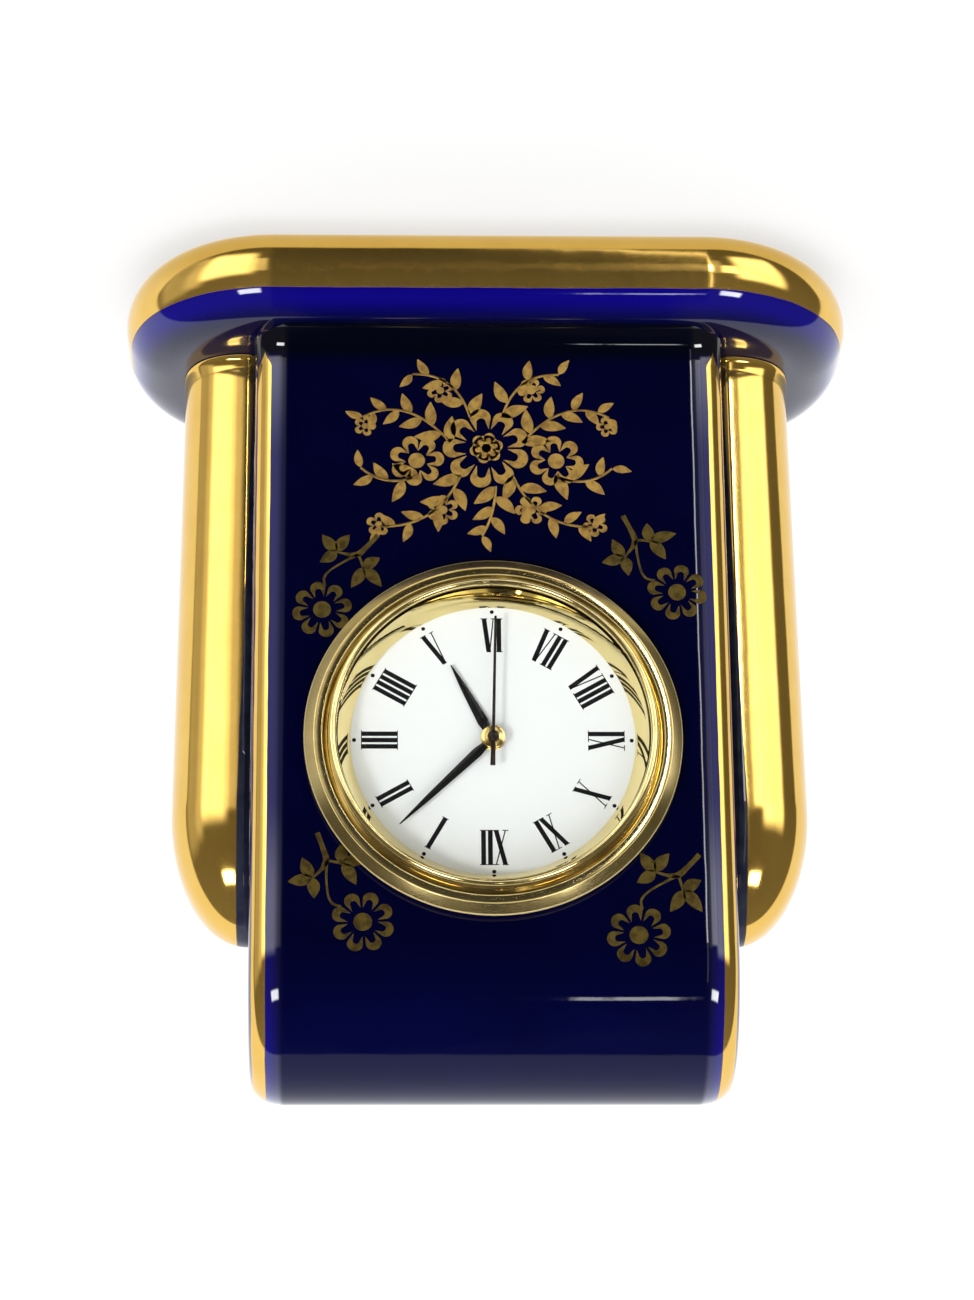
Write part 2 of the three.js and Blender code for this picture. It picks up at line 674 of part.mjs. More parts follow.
// Leaves stand over the middle of the wheel that they mesh with
function leafFrontAt(wheelFront) {
  return wheelFront - half(WHEEL_THICKNESS) + half(LEAF_LENGTH);
}

// An arbor with a wheel and the pinion leaves in front of or behind it
function wheelset(place, wheel, pinion, arborFront = ARBOR_FRONT) {
  const wheelBack = wheel.front - WHEEL_THICKNESS;
  const leafBack = pinion.front - LEAF_LENGTH;
  return join(
    gear(wheel.teeth, wheel.module, wheel.phase, wheelBack, wheel.front),
    gear(pinion.teeth, pinion.module, pinion.phase, leafBack, pinion.front),
    rod(ARBOR_RADIUS, ARBOR_BACK, arborFront),
  ).translate(place.x, place.y, 0);
}

function secondWheel() {
  const leafFront = leafFrontAt(THIRD_WHEEL_FRONT);
  return wheelset(
    CENTRE,
    { teeth: SECOND_TEETH, module: SECOND_MODULE, phase: 0, front: SECOND_WHEEL_FRONT },
    { teeth: SECOND_LEAVES, module: THIRD_MODULE, phase: 0, front: leafFront },
    SECOND_HAND_FRONT - HAND_THICKNESS,
  );
}

function thirdWheel() {
  const phase = meshPhase(SECOND_LEAVES, 0, directionTo(CENTRE, THIRD), THIRD_TEETH);
  const leafFront = leafFrontAt(CENTRE_WHEEL_FRONT);
  return wheelset(
    THIRD,
    { teeth: THIRD_TEETH, module: THIRD_MODULE, phase, front: THIRD_WHEEL_FRONT },
    { teeth: THIRD_LEAVES, module: CENTRE_MODULE, phase: 0, front: leafFront },
  );
}

function intermediateWheel() {
  const line = directionTo(CENTRE, INTERMEDIATE);
  const phase = meshPhase(SECOND_TEETH, 0, line, INTERMEDIATE_LEAVES);
  const leafFront = leafFrontAt(SECOND_WHEEL_FRONT);
  return wheelset(
    INTERMEDIATE,
    { teeth: INTERMEDIATE_TEETH, module: ROTOR_MODULE, phase: 0, front: INTERMEDIATE_WHEEL_FRONT },
    { teeth: INTERMEDIATE_LEAVES, module: SECOND_MODULE, phase, front: leafFront },
  );
}

// Rotor: a round magnet and its pinion
function rotor() {
  const line = directionTo(INTERMEDIATE, ROTOR);
  const phase = meshPhase(INTERMEDIATE_TEETH, 0, line, ROTOR_LEAVES);
  const leafFront = leafFrontAt(INTERMEDIATE_WHEEL_FRONT);
  const pinion = gear(ROTOR_LEAVES, ROTOR_MODULE, phase, leafFront - LEAF_LENGTH, leafFront);
  const magnet = rod(MAGNET_RADIUS, MAGNET_FRONT - MAGNET_LENGTH, MAGNET_FRONT, CENTRE, 2 * SMALL_FACETS);
  const arbor = rod(ARBOR_RADIUS, ARBOR_BACK, ARBOR_FRONT);
  return join(pinion, magnet, arbor).translate(ROTOR.x, ROTOR.y, 0);
}

// Centre wheel: its pipe runs through the plate and drives the cannon pinion by friction
function centreWheel() {
  const line = directionTo(THIRD, CENTRE);
  const phase = meshPhase(THIRD_LEAVES, 0, line, CENTRE_TEETH);
  const back = CENTRE_WHEEL_FRONT - WHEEL_THICKNESS;
  const wheel = gear(CENTRE_TEETH, CENTRE_MODULE, phase, back, CENTRE_WHEEL_FRONT);
  const pipe = rod(PIPE_RADIUS, back, DIAL_FRONT);
  return cut(join(wheel, pipe), rod(PIPE_BORE, back - OVERCUT, DIAL_FRONT + OVERCUT));
}

// Cannon pinion: the tube that carries the minute hand
function cannonPinion() {
  const leafFront = leafFrontAt(MINUTE_WHEEL_FRONT);
  const back = leafFront - LEAF_LENGTH;
  const leaves = gear(CANNON_LEAVES, MOTION_MODULE, 0, back, leafFront);
  const tube = rod(CANNON_RADIUS, back, CANNON_FRONT, CENTRE, half(ROUND_FACETS));
  const bore = rod(CANNON_BORE, back - OVERCUT, CANNON_FRONT + OVERCUT, CENTRE, half(ROUND_FACETS));
  return cut(join(leaves, tube), bore);
}

// Minute wheel: runs on the plate's stud between the cannon pinion and the hour wheel
function minuteWheel() {
  const line = directionTo(CENTRE, MINUTE_WHEEL);
  const phase = meshPhase(CANNON_LEAVES, 0, line, MINUTE_TEETH);
  const back = MINUTE_WHEEL_FRONT - WHEEL_THICKNESS;
  const wheel = gear(MINUTE_TEETH, MOTION_MODULE, phase, back, MINUTE_WHEEL_FRONT);
  const leafFront = leafFrontAt(HOUR_WHEEL_FRONT);
  const leaves = gear(MINUTE_LEAVES, HOUR_MODULE, 0, back, leafFront);
  const bore = rod(STUD_RADIUS + PIVOT_GAP, back - OVERCUT, leafFront + OVERCUT);
  return cut(join(wheel, leaves), bore).translate(MINUTE_WHEEL.x, MINUTE_WHEEL.y, 0);
}

// Hour wheel: its tube carries the hour hand
function hourWheel() {
  const line = directionTo(MINUTE_WHEEL, CENTRE);
  const phase = meshPhase(MINUTE_LEAVES, 0, line, HOUR_TEETH);
  const back = HOUR_WHEEL_FRONT - WHEEL_THICKNESS;
  const wheel = gear(HOUR_TEETH, HOUR_MODULE, phase, back, HOUR_WHEEL_FRONT);
  const tube = rod(HOUR_TUBE_RADIUS, back, HOUR_TUBE_FRONT, CENTRE, half(ROUND_FACETS));
  const bore = rod(HOUR_BORE, back - OVERCUT, HOUR_TUBE_FRONT + OVERCUT, CENTRE, half(ROUND_FACETS));
  return cut(join(wheel, tube), bore);
}

// Setting arbor: its pinion turns the minute wheel
function settingArbor() {
  const line = directionTo(MINUTE_WHEEL, SETTING);
  const drive = directionTo(CENTRE, MINUTE_WHEEL);
  const wheelPhase = meshPhase(CANNON_LEAVES, 0, drive, MINUTE_TEETH);
  const phase = meshPhase(MINUTE_TEETH, wheelPhase, line, CANNON_LEAVES);
  const leafFront = MINUTE_WHEEL_FRONT;
  const leaves = gear(CANNON_LEAVES, MOTION_MODULE, phase, leafFront - WHEEL_THICKNESS, leafFront);
  const shaft = rod(SETTING_ARBOR_RADIUS, KNOB_FRONT - KNOB_LENGTH + KNOB_CAP + FACE_GAP, leafFront);
  return join(leaves, shaft).translate(SETTING.x, SETTING.y, 0);
}

function settingKnob() {
  const back = KNOB_FRONT - KNOB_LENGTH;
  const grip = ribbed(KNOB_RADIUS, KNOB_RIB_HEIGHT, KNOB_RIBS, back, KNOB_FRONT);
  const bore = rod(SETTING_ARBOR_RADIUS + FACE_GAP, back + KNOB_CAP, KNOB_FRONT + OVERCUT);
  return cut(grip, bore).translate(SETTING.x, SETTING.y, 0);
}

function coil() {
  const axis = COIL_END.clone().sub(COIL_START);
  const middle = COIL_START.clone().add(COIL_END).multiplyScalar(0.5);
  const height = CORE_FRONT - half(CORE_THICKNESS);
  const winding = new THREE.CylinderGeometry(COIL_RADIUS, COIL_RADIUS, COIL_LENGTH, 2 * SMALL_FACETS);
  const sleeve = new THREE.BoxGeometry(
    2 * (CORE_HALF_WIDTH + FACE_GAP),
    2 * COIL_LENGTH,
    CORE_THICKNESS + 2 * FACE_GAP,
  );
  const turn = axis.angle() - half(Math.PI);
  return cut(winding, sleeve).rotateZ(turn).translate(middle.x, middle.y, height);
}

// Coil core: an iron bar whose ends lie on the stator
function coilCore() {
  return bar(COIL_START, COIL_END, CORE_HALF_WIDTH, CORE_FRONT - CORE_THICKNESS, CORE_FRONT);
}

// Stator: a ring round the magnet, a beam along the coil and an arm up to each end of the core
function stator() {
  const back = STATOR_FRONT - STATOR_THICKNESS;
  const bore = MAGNET_RADIUS + STATOR_GAP;
  const eye = rod(bore + STATOR_RING, back, STATOR_FRONT, ROTOR, 2 * SMALL_FACETS);
  const axis = COIL_END.clone().sub(COIL_START).normalize();
  const arms = [COIL_START, COIL_END].flatMap((end) => {
    const reach = end.clone().sub(ROTOR).dot(axis);
    const knee = axis.clone().multiplyScalar(reach).add(ROTOR);
    return [
      bar(ROTOR, knee, CORE_HALF_WIDTH, back, STATOR_FRONT),
      bar(knee, end, CORE_HALF_WIDTH, back, STATOR_FRONT),
    ];
  });
  const opening = rod(bore, back - OVERCUT, STATOR_FRONT + OVERCUT, ROTOR, 2 * SMALL_FACETS);
  return cut(join(eye, ...arms), opening);
}

function circuitBoard() {
  return block(BOARD_WIDTH, BOARD_LENGTH, BOARD_BACK, BOARD_FRONT, BOARD);
}

// Chip: in the corner of the board away from the battery
function chip() {
  const corner = new THREE.Vector2(BOARD_WIDTH - CHIP_WIDTH, BOARD_LENGTH - CHIP_LENGTH);
  const place = corner.multiplyScalar(0.5).add(BOARD);
  const front = BOARD_BACK - FACE_GAP;
  return block(CHIP_WIDTH, CHIP_LENGTH, front - CHIP_HEIGHT, front, place);
}

// Quartz can: the small steel tube that holds the tuning crystal
function quartzCan() {
  const can = new THREE.CylinderGeometry(CAN_RADIUS, CAN_RADIUS, CAN_LENGTH, SMALL_FACETS);
  const x = BOARD.x + half(BOARD_WIDTH - CAN_LENGTH);
  const y = BOARD.y + CAN_RADIUS - half(BOARD_LENGTH);
  return can.rotateZ(half(Math.PI)).translate(x, y, BOARD_BACK - FACE_GAP - CAN_RADIUS);
}

function battery() {
  return turned([
    [0, -BATTERY_THICKNESS],
    [BATTERY_RADIUS, -BATTERY_THICKNESS],
    [BATTERY_RADIUS, -BATTERY_RIM],
    [BATTERY_RADIUS - BATTERY_RIM, 0],
    [0, 0],
  ]).translate(BATTERY.x, BATTERY.y, BATTERY_FRONT);
}

// Front contact: a leaf under the battery that runs in front of the board
function frontContact() {
  const back = BATTERY_FRONT + CONTACT_GAP;
  return bar(BATTERY, CONTACT_END, CONTACT_HALF_WIDTH, back, back + CONTACT_THICKNESS);
}

// Back contact: a strap over the battery with a leg down to the board
function backContact() {
  const front = BATTERY_FRONT - BATTERY_THICKNESS - CONTACT_GAP;
  const strap = bar(BATTERY, CONTACT_END, CONTACT_HALF_WIDTH, front - CONTACT_THICKNESS, front);
  const foot = front - half(CONTACT_THICKNESS);
  const leg = block(CONTACT_THICKNESS, CONTACT_HALF_WIDTH, foot, BOARD_BACK - FACE_GAP, CONTACT_END);
  return join(strap, leg);
}

// A lance blade from the collet's edge to its tip, pointing to twelve
function lanceBlade(root, length, width) {
  const shape = new THREE.Shape();
  const wide = half(width);
  const neck = half(wide);
  shape.moveTo(-neck, root);
  shape.lineTo(neck, root);
  shape.lineTo(wide, HAND_SHOULDER);
  shape.lineTo(0, length);
  shape.lineTo(-wide, HAND_SHOULDER);
  return shape;
}

// A stamped hand: an eye round its tube and a lance blade
function hand(tubeRadius, length, width, front) {
  const back = front - HAND_THICKNESS;
  const eye = tubeRadius + FACE_GAP;
  const disc = rod(COLLET_RADIUS, back, front, CENTRE, half(ROUND_FACETS));
  const blade = extruded(lanceBlade(eye, length, width), back, front);
  const bore = rod(eye, back - OVERCUT, front + OVERCUT, CENTRE, half(ROUND_FACETS));
  return cut(join(disc, blade), bore);
}

// A brass bush that is pressed on the tube over the eye of its hand
function collet(tubeRadius, tubeFront) {
  const back = tubeFront - COLLET_HEIGHT;
  return ring(COLLET_RADIUS, tubeRadius + FACE_GAP, back, tubeFront, half(ROUND_FACETS));
}

function secondHand() {
  const back = SECOND_HAND_FRONT - HAND_THICKNESS;
  const needle = new THREE.Shape();
  needle.moveTo(-half(SECOND_TAIL_WIDTH), -SECOND_TAIL);
  needle.lineTo(half(SECOND_TAIL_WIDTH), -SECOND_TAIL);
  needle.lineTo(half(SECOND_WIDTH), 0);
  needle.lineTo(half(SECOND_WIDTH), SECOND_LENGTH);
  needle.lineTo(-half(SECOND_WIDTH), SECOND_LENGTH);
  needle.lineTo(-half(SECOND_WIDTH), 0);
  const cap = rod(SECOND_CAP_RADIUS, back, SECOND_HAND_FRONT + half(HAND_THICKNESS));
  const bore = rod(ARBOR_RADIUS + FACE_GAP, back - OVERCUT, SECOND_HAND_FRONT - half(HAND_THICKNESS));
  return cut(join(extruded(needle, back, SECOND_HAND_FRONT), cap), bore);
}

// Assembly
const clock = new THREE.Group();
const insert = new THREE.Group();
insert.position.set(0, FACE_Y, DIAL_HEIGHT);
insert.rotation.x = half(Math.PI);
clock.add(insert);

// A clockwise turn seen from the front, given in degrees
function pointer(angle) {
  const group = new THREE.Group();
  group.rotation.z = -radians(angle);
  insert.add(group);
  return group;
}

function add(parent, name, geometry, finish) {
  const mesh = new THREE.Mesh(geometry, new THREE.MeshStandardMaterial(FINISHES[finish]));
  mesh.name = name;
  parent.add(mesh);
}

add(clock, "case_body", caseBody(), "cobalt_glaze");
add(clock, "case_base", caseBase(), "cobalt_glaze");
add(clock, "left_column", column(-1), "burnished_gold");
add(clock, "right_column", column(1), "burnished_gold");

add(insert, "bezel", bezel(), "brass");
add(insert, "grip_ring", gripRing(), "rubber");
add(insert, "crystal", rod(INSERT_RADIUS, CRYSTAL_BACK, CRYSTAL_TOP, CENTRE, ROUND_FACETS), "glass");
add(insert, "dial_ring", dialRing(), "brass");
add(insert, "dial", dial(), "dial_white");
add(insert, "housing", housing(), "black_plastic");
add(insert, "back_cover", backCover(), "black_plastic");

add(insert, "main_plate", mainPlate(), "white_plastic");
add(insert, "train_bridge", trainBridge(), "white_plastic");
POSTS.forEach((post, i) => add(insert, `bridge_screw_${i + 1}`, bridgeScrew(post), "steel"));
add(insert, "rotor", rotor(), "steel");
add(insert, "intermediate_wheel", intermediateWheel(), "white_plastic");
add(insert, "second_wheel", secondWheel(), "white_plastic");
add(insert, "third_wheel", thirdWheel(), "white_plastic");
add(insert, "centre_wheel", centreWheel(), "brass");
add(insert, "cannon_pinion", cannonPinion(), "brass");
add(insert, "minute_wheel", minuteWheel(), "white_plastic");
add(insert, "hour_wheel", hourWheel(), "brass");
add(insert, "setting_arbor", settingArbor(), "steel");
add(insert, "setting_knob", settingKnob(), "black_plastic");

add(insert, "coil", coil(), "copper");
add(insert, "coil_core", coilCore(), "steel");
add(insert, "stator", stator(), "steel");
add(insert, "circuit_board", circuitBoard(), "board_green");
add(insert, "chip", chip(), "black_plastic");
add(insert, "quartz_can", quartzCan(), "steel");
add(insert, "battery", battery(), "steel");
add(insert, "front_contact", frontContact(), "steel");
add(insert, "back_contact", backContact(), "steel");

const hourPointer = pointer(HOUR_ANGLE);
const hourHand = hand(HOUR_TUBE_RADIUS, HOUR_LENGTH, HOUR_WIDTH, HOUR_HAND_FRONT);
add(hourPointer, "hour_hand", hourHand, "black_paint");
add(hourPointer, "hour_hand_collet", collet(HOUR_TUBE_RADIUS, HOUR_TUBE_FRONT), "brass");
const minutePointer = pointer(MINUTE_ANGLE);
const minuteHand = hand(CANNON_RADIUS, MINUTE_LENGTH, MINUTE_WIDTH, MINUTE_HAND_FRONT);
add(minutePointer, "minute_hand", minuteHand, "black_paint");
add(minutePointer, "minute_hand_collet", collet(CANNON_RADIUS, CANNON_FRONT), "brass");
add(pointer(SECOND_ANGLE), "second_hand", secondHand(), "black_paint");

export default clock;
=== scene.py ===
"""Looks of a gilded porcelain table clock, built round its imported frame.

The clock stands upright on the floor with its dial toward -Y. The camera is rolled half a turn,
because the clock lies with its base toward the top of the picture. Sizes are in millimetres.
"""

import logging
import math
from dataclasses import dataclass
from enum import Enum
from typing import Any, Callable, Iterable, Sequence

import bmesh
import bpy
from mathutils import Matrix, Vector


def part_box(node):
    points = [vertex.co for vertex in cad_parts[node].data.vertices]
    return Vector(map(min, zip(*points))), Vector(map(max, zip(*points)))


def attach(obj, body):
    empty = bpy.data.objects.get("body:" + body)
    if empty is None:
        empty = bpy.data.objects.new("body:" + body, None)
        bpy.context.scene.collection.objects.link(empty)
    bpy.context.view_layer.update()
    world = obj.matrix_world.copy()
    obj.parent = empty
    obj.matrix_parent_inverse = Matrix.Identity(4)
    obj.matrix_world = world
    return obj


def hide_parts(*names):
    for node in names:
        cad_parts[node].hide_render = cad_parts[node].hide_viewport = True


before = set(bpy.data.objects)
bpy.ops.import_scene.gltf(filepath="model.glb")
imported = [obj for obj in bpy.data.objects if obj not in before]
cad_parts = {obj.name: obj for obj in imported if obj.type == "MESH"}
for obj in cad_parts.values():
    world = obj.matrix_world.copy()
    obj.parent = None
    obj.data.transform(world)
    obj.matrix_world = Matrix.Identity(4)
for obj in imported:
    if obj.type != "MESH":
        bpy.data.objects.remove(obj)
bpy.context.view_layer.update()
LOG = logging.getLogger("table_clock")
MM = 0.001
SLACK = 0.1  # how far outside a room a face may lie and still count as inside

Point = tuple[float, float]
Span = tuple[float, float]
Colour = tuple[float, float, float]
Thing = bpy.types.Object
Material = bpy.types.Material


def operator(kind: str, swapped: bool = False) -> Callable[["Link", "Link | float"], "Link"]:
    """Makes an operator method that adds a math node of the given kind."""
    def method(self: "Link", other: "Link | float") -> "Link":
        return self.tree.math(kind, *((other, self) if swapped else (self, other)))
    return method


class Link:
    """An output socket that takes part in sums with numbers and other sockets."""

    def __init__(self, tree: "Tree", socket: bpy.types.NodeSocket) -> None:
        self.tree = tree
        self.socket = socket

    __add__ = __radd__ = operator("ADD")
    __sub__ = operator("SUBTRACT")
    __rsub__ = operator("SUBTRACT", swapped=True)
    __mul__ = __rmul__ = operator("MULTIPLY")
    __truediv__ = operator("DIVIDE")
    __pow__ = operator("POWER")

    def __neg__(self) -> "Link":
        return self * -1.0

    def __abs__(self) -> "Link":
        return self.tree.math("ABSOLUTE", self)


class Tree:
    """Adds nodes to a shader, world or geometry tree."""

    def __init__(self, nodes: bpy.types.NodeTree) -> None:
        self.nodes = nodes
        nodes.nodes.clear()

    def node(self, kind: str, inputs: dict[str, Any] | None = None, output: str | None = None,
             **settings: str) -> Link | None:
        """Makes any node.

        Args:
            kind: the node's type name.
            inputs: values or links by socket name.
            output: name of the wanted output, the first one if left out.
            settings: attributes to set before the sockets.

        Returns:
            The output as a link, or None for a node without outputs.
        """
        made = self.nodes.nodes.new(kind)
        for key, value in settings.items():
            setattr(made, key, value)
        for key, value in (inputs or {}).items():
            sockets = [s for s in made.inputs if s.enabled and s.name == key]
            links = value if isinstance(value, list) else [value]
            for number, one in enumerate(links):
                socket = sockets[min(number, len(sockets) - 1)]
                if isinstance(one, Link):
                    self.nodes.links.new(one.socket, socket)
                else:
                    socket.default_value = one
        outputs = [s for s in made.outputs if s.enabled and output in (None, s.name)]
        return Link(self, outputs[0]) if outputs else None

    def math(self, operation: str, *values: "Link | float") -> Link:
        """Makes a scalar sum of the given kind."""
        return self.node("ShaderNodeMath", {"Value": list(values)}, operation=operation)

    def step(self, value: Link, low: float, high: float) -> Link:
        """Rises smoothly from 0 at low to 1 at high."""
        return self.node("ShaderNodeMapRange", {"Value": value, "From Min": low, "From Max": high},
                         interpolation_type="SMOOTHSTEP")

    def band(self, value: Link, low: float, high: float, soft: float) -> Link:
        """Is 1 between low and high and 0 outside, with soft edges."""
        rise = self.step(value, low - soft, low + soft)
        return rise * (1.0 - self.step(value, high - soft, high + soft))

    def mix(self, factor: "Link | float", first: Any, second: Any) -> Link:
        """Mixes two colours."""
        ends = [c if isinstance(c, Link) else (*c, 1.0) for c in (first, second)]
        return self.node("ShaderNodeMix", {"Factor": factor, "A": ends[0], "B": ends[1]},
                         data_type="RGBA")

    def xyz(self, vector: Link) -> list[Link]:
        """Splits a vector into its three parts."""
        return [self.node("ShaderNodeSeparateXYZ", {"Vector": vector}, axis)
                for axis in "XYZ"]

    def scale(self, vector: Link, by: Sequence[float]) -> Link:
        """Multiplies a vector part by part."""
        return self.node("ShaderNodeVectorMath", {"Vector": [vector, by]}, operation="MULTIPLY")


class Paint(Tree):
    """A material under construction; its places are object coordinates in millimetres."""

    def __init__(self, name: str) -> None:
        self.material = bpy.data.materials.new(name)
        self.material.use_nodes = True
        super().__init__(self.material.node_tree)
        coordinates = self.node("ShaderNodeTexCoord", output="Object")
        self.place = self.scale(coordinates, (1 / MM,) * 3)
        self.x, self.y, self.z = self.xyz(self.place)

    def noise(self, size: float, detail: float = 2.0, stretch: Sequence[float] = (1, 1, 1)) -> Link:
        """Makes noise with features of about the given size.

        Args:
            size: feature size.
            detail: octaves of finer noise.
            stretch: how much closer the features lie along each axis.

        Returns:
            A value round 0.5.
        """
        place = self.scale(self.place, stretch)
        return self.node("ShaderNodeTexNoise",
                         {"Vector": place, "Scale": 1 / size, "Detail": detail})

    def bump(self, height: Link, depth: float) -> Link:
        """Turns a height of 0 to 1 into a normal, for the given depth."""
        return self.node("ShaderNodeBump", {"Height": height, "Distance": depth * MM})

    def principled(self, **inputs: Any) -> Link:
        """Makes the surface shader; socket names are given with underscores."""
        return self.node("ShaderNodeBsdfPrincipled",
                         {key.replace("_", " "): value for key, value in inputs.items()})

    def out(self, surface: Link) -> Material:
        """Links the surface to the material's output and returns the material."""
        self.node("ShaderNodeOutputMaterial", {"Surface": surface})
        return self.material


class Gilding(Enum):
    """Where gold lies over the blue glaze."""

    BODY = "edge lines of the body"
    BASE = "round edge of the base"
    COLUMN = "outer side of a column"


class Grain(Enum):
    """Fine marks left in a surface by how it was made."""

    TURNED = "rings round the dial's axis"
    DRAWN = "lines along X"
    MOULDED = "even fine texture"


@dataclass(frozen=True)
class Finish:
    """A named surface finish; its material is made once, when it is first asked for."""

    name: str

    def material(self) -> Material:
        """Returns the finish's material."""
        found = bpy.data.materials.get("finish_" + self.name)
        if found is None:
            p = Paint("finish_" + self.name)
            found = p.out(self.paint(p))
        return found

    def paint(self, p: Paint) -> Link:
        """Builds the nodes of the finish and returns its surface."""
        raise NotImplementedError


@dataclass(frozen=True)
class Porcelain(Finish):
    """Cobalt glaze with burnished gold painted over part of it.

    A span holds the two places between which a share rises from 0 to 1.
    """

    gilding: Gilding = Gilding.BODY
    glaze: Colour = (0.0004, 0.0007, 0.017)
    glaze_deep: Colour = (0.0003, 0.0006, 0.0105)
    # painted highlight: the brighter blue on the edges, where light falls and reflects; the glaze
    # also runs thin there
    glaze_thin_lit: Colour = (0.002, 0.001, 0.095)
    # painted reflection: grey that stands in for light reflected in a column's groove
    glaze_groove_reflection: Colour = (0.03, 0.034, 0.046)
    # painted shade: the darker blue in the coves; the glaze also pools there
    glaze_pool_shade: Colour = (0.0004, 0.0007, 0.003)
    glaze_index: float = 1.28
    glaze_rough: float = 0.035
    coat_rough: float = 0.03
    swell: float = 0.028
    gold: Colour = (0.86, 0.57, 0.145)
    gold_worn: Colour = (0.76, 0.47, 0.105)
    gold_edge: Colour = (0.16, 0.075, 0.02)
    gold_haze: float = 0.06
    gold_rough: float = 0.03
    gold_streak: float = 0.06
    brush_waver: float = 0.16
    brush_edge: float = 0.05
    line_middle: float = 22.72
    line_half: float = 0.71
    line_start: Span = (12.3, 14.3)
    line_edge: Span = (0.0, 0.06)
    base_line: Span = (7.78, 7.86)
    column_rise: Span = (11.0, 60.0)
    column_line: Span = (23.95, 25.1)
    # where the painted highlight lies along the body's rounded edges, and how strong it is
    body_thin_lit: Span = (20.3, 22.2)
    body_thin_lit_share: float = 0.8
    # where the painted shade lies in the cove at the body's foot
    body_pool_shade: Span = (12.4, 14.6)
    # where the painted highlight lies on the base's upper shoulder
    base_thin_lit: Span = (8.6, 10.6)
    # where the painted shade lies in the cove on the base's top, and how far across it reaches
    base_pool_shade: Span = (10.2, 10.7)
    base_pool_shade_across: Span = (18.0, 26.0)
    foot_middle: float = 26.0
    foot_scale: Point = (0.11, 0.09)
    foot_edge: Span = (0.9, 1.6)
    foot_rough: float = 0.3
    base_coat_across: Span = (17.0, 21.0)
    base_coat_up: Span = (7.7, 8.0)
    body_coat_across: Span = (20.3, 20.9)
    body_uncoated: Span = (19.0, 66.0)
    body_uncoated_soft: float = 6.0

    def gold_mask(self, p: Paint) -> Link:
        """Is 1 where the gold lies, with a hand-painted edge."""
        waver = (p.noise(5.0) - 0.5) * self.brush_waver
        if self.gilding is Gilding.BASE:
            return 1.0 - p.step(p.z + waver, *self.base_line)
        across = abs(p.x) + waver
        if self.gilding is Gilding.COLUMN:
            (low, high), (foot, cap) = self.column_rise, self.column_line
            line = p.node("ShaderNodeMapRange", {
                "Value": p.z, "From Min": low, "From Max": high, "To Min": foot, "To Max": cap})
            return p.step(across - line, -self.brush_edge, self.brush_edge)
        half = p.step(p.z, *self.line_start) * self.line_half
        return p.step(half - abs(across - self.line_middle), *self.line_edge)

    def blue(self, p: Paint) -> Link:
        """Makes the glaze's colour, with light painted in: brighter on the edges (a painted
        highlight; the glaze also runs thin there), darker in the coves (painted shade; the glaze
        also pools there) and grey in a column's groove (a painted reflection).
        """
        even = p.mix(p.noise(7.0), self.glaze_deep, self.glaze)
        if self.gilding is Gilding.COLUMN:
            # a column's groove is painted partly grey: a painted reflection
            return p.mix(p.noise(2.0), self.glaze_groove_reflection, even)
        if self.gilding is Gilding.BASE:
            # the base's upper shoulder is painted brighter where light falls from above: a painted
            # highlight; the glaze also runs thin there
            thin = 1.0 - p.step(p.z, *self.base_thin_lit)
            # the cove on the base's top, round the body's foot, is painted darker: painted shade;
            # the glaze also pools there
            middle = 1.0 - p.step(abs(p.x), *self.base_pool_shade_across)
            pool_shade = p.step(p.z, *self.base_pool_shade) * middle
        else:
            # the body's rounded edges are painted brighter: a painted reflection of the light along
            # them; the glaze also runs thin there
            thin = p.step(abs(p.x), *self.body_thin_lit) * self.body_thin_lit_share
            # the cove at the body's foot is painted darker: painted shade; the glaze also pools
            # there
            pool_shade = 1.0 - p.step(p.z, *self.body_pool_shade)
        return p.mix(pool_shade, p.mix(thin, even, self.glaze_thin_lit), self.glaze_pool_shade)

    def foot_haze(self, p: Paint) -> Link | float:
        """Is the extra roughness of the glaze round a column's foot."""
        if self.gilding is not Gilding.BASE:
            return 0.0
        across = (abs(p.x) - self.foot_middle) * self.foot_scale[0]
        deep = p.y * self.foot_scale[1]
        return (1.0 - p.step(across * across + deep * deep, *self.foot_edge)) * self.foot_rough

    def coat(self, p: Paint) -> Link | float:
        """Is the weight of the clear coat, where the glaze runs thick round a corner."""
        if self.gilding is Gilding.BASE:
            return p.step(abs(p.x), *self.base_coat_across) * p.step(p.z, *self.base_coat_up)
        if self.gilding is Gilding.BODY:
            bare = p.band(p.z, *self.body_uncoated, self.body_uncoated_soft)
            return p.step(abs(p.x), *self.body_coat_across) * (1.0 - bare)
        return 0.0

    def paint(self, p: Paint) -> Link:
        """Builds glaze and gold."""
        mask = self.gold_mask(p)
        metal = p.step(mask, 0.35, 0.65)
        rim = p.band(mask, 0.05, 0.8, 0.05)
        gold = p.mix(p.noise(3.0, 4.0), self.gold_worn, self.gold)
        colour = p.mix(rim * 0.8, p.mix(metal, self.blue(p), gold), self.gold_edge)
        wave = p.noise(6.0, 1.0) + p.noise(1.1, 1.0) * 0.06
        streak = self.gold_rough + p.noise(0.8, 3.0) * self.gold_streak
        return p.principled(
            Base_Color=colour, Metallic=metal * (1.0 - self.gold_haze), IOR=self.glaze_index,
            Roughness=self.glaze_rough + metal * streak + self.foot_haze(p),
            Coat_Weight=(1.0 - metal) * self.coat(p), Coat_Roughness=self.coat_rough,
            Normal=p.bump(wave, self.swell))


@dataclass(frozen=True)
class Biscuit(Finish):
    """Unglazed porcelain under the foot and inside the shell."""

    colour: Colour = (0.74, 0.71, 0.65)
    stain: Colour = (0.52, 0.46, 0.38)

    def paint(self, p: Paint) -> Link:
        """Builds a chalky, lightly stained body."""
        colour = p.mix(p.step(p.noise(4.0, 5.0), 0.45, 0.75), self.colour, self.stain)
        return p.principled(Base_Color=colour, Roughness=0.85,
                            Normal=p.bump(p.noise(0.3, 4.0), 0.03))


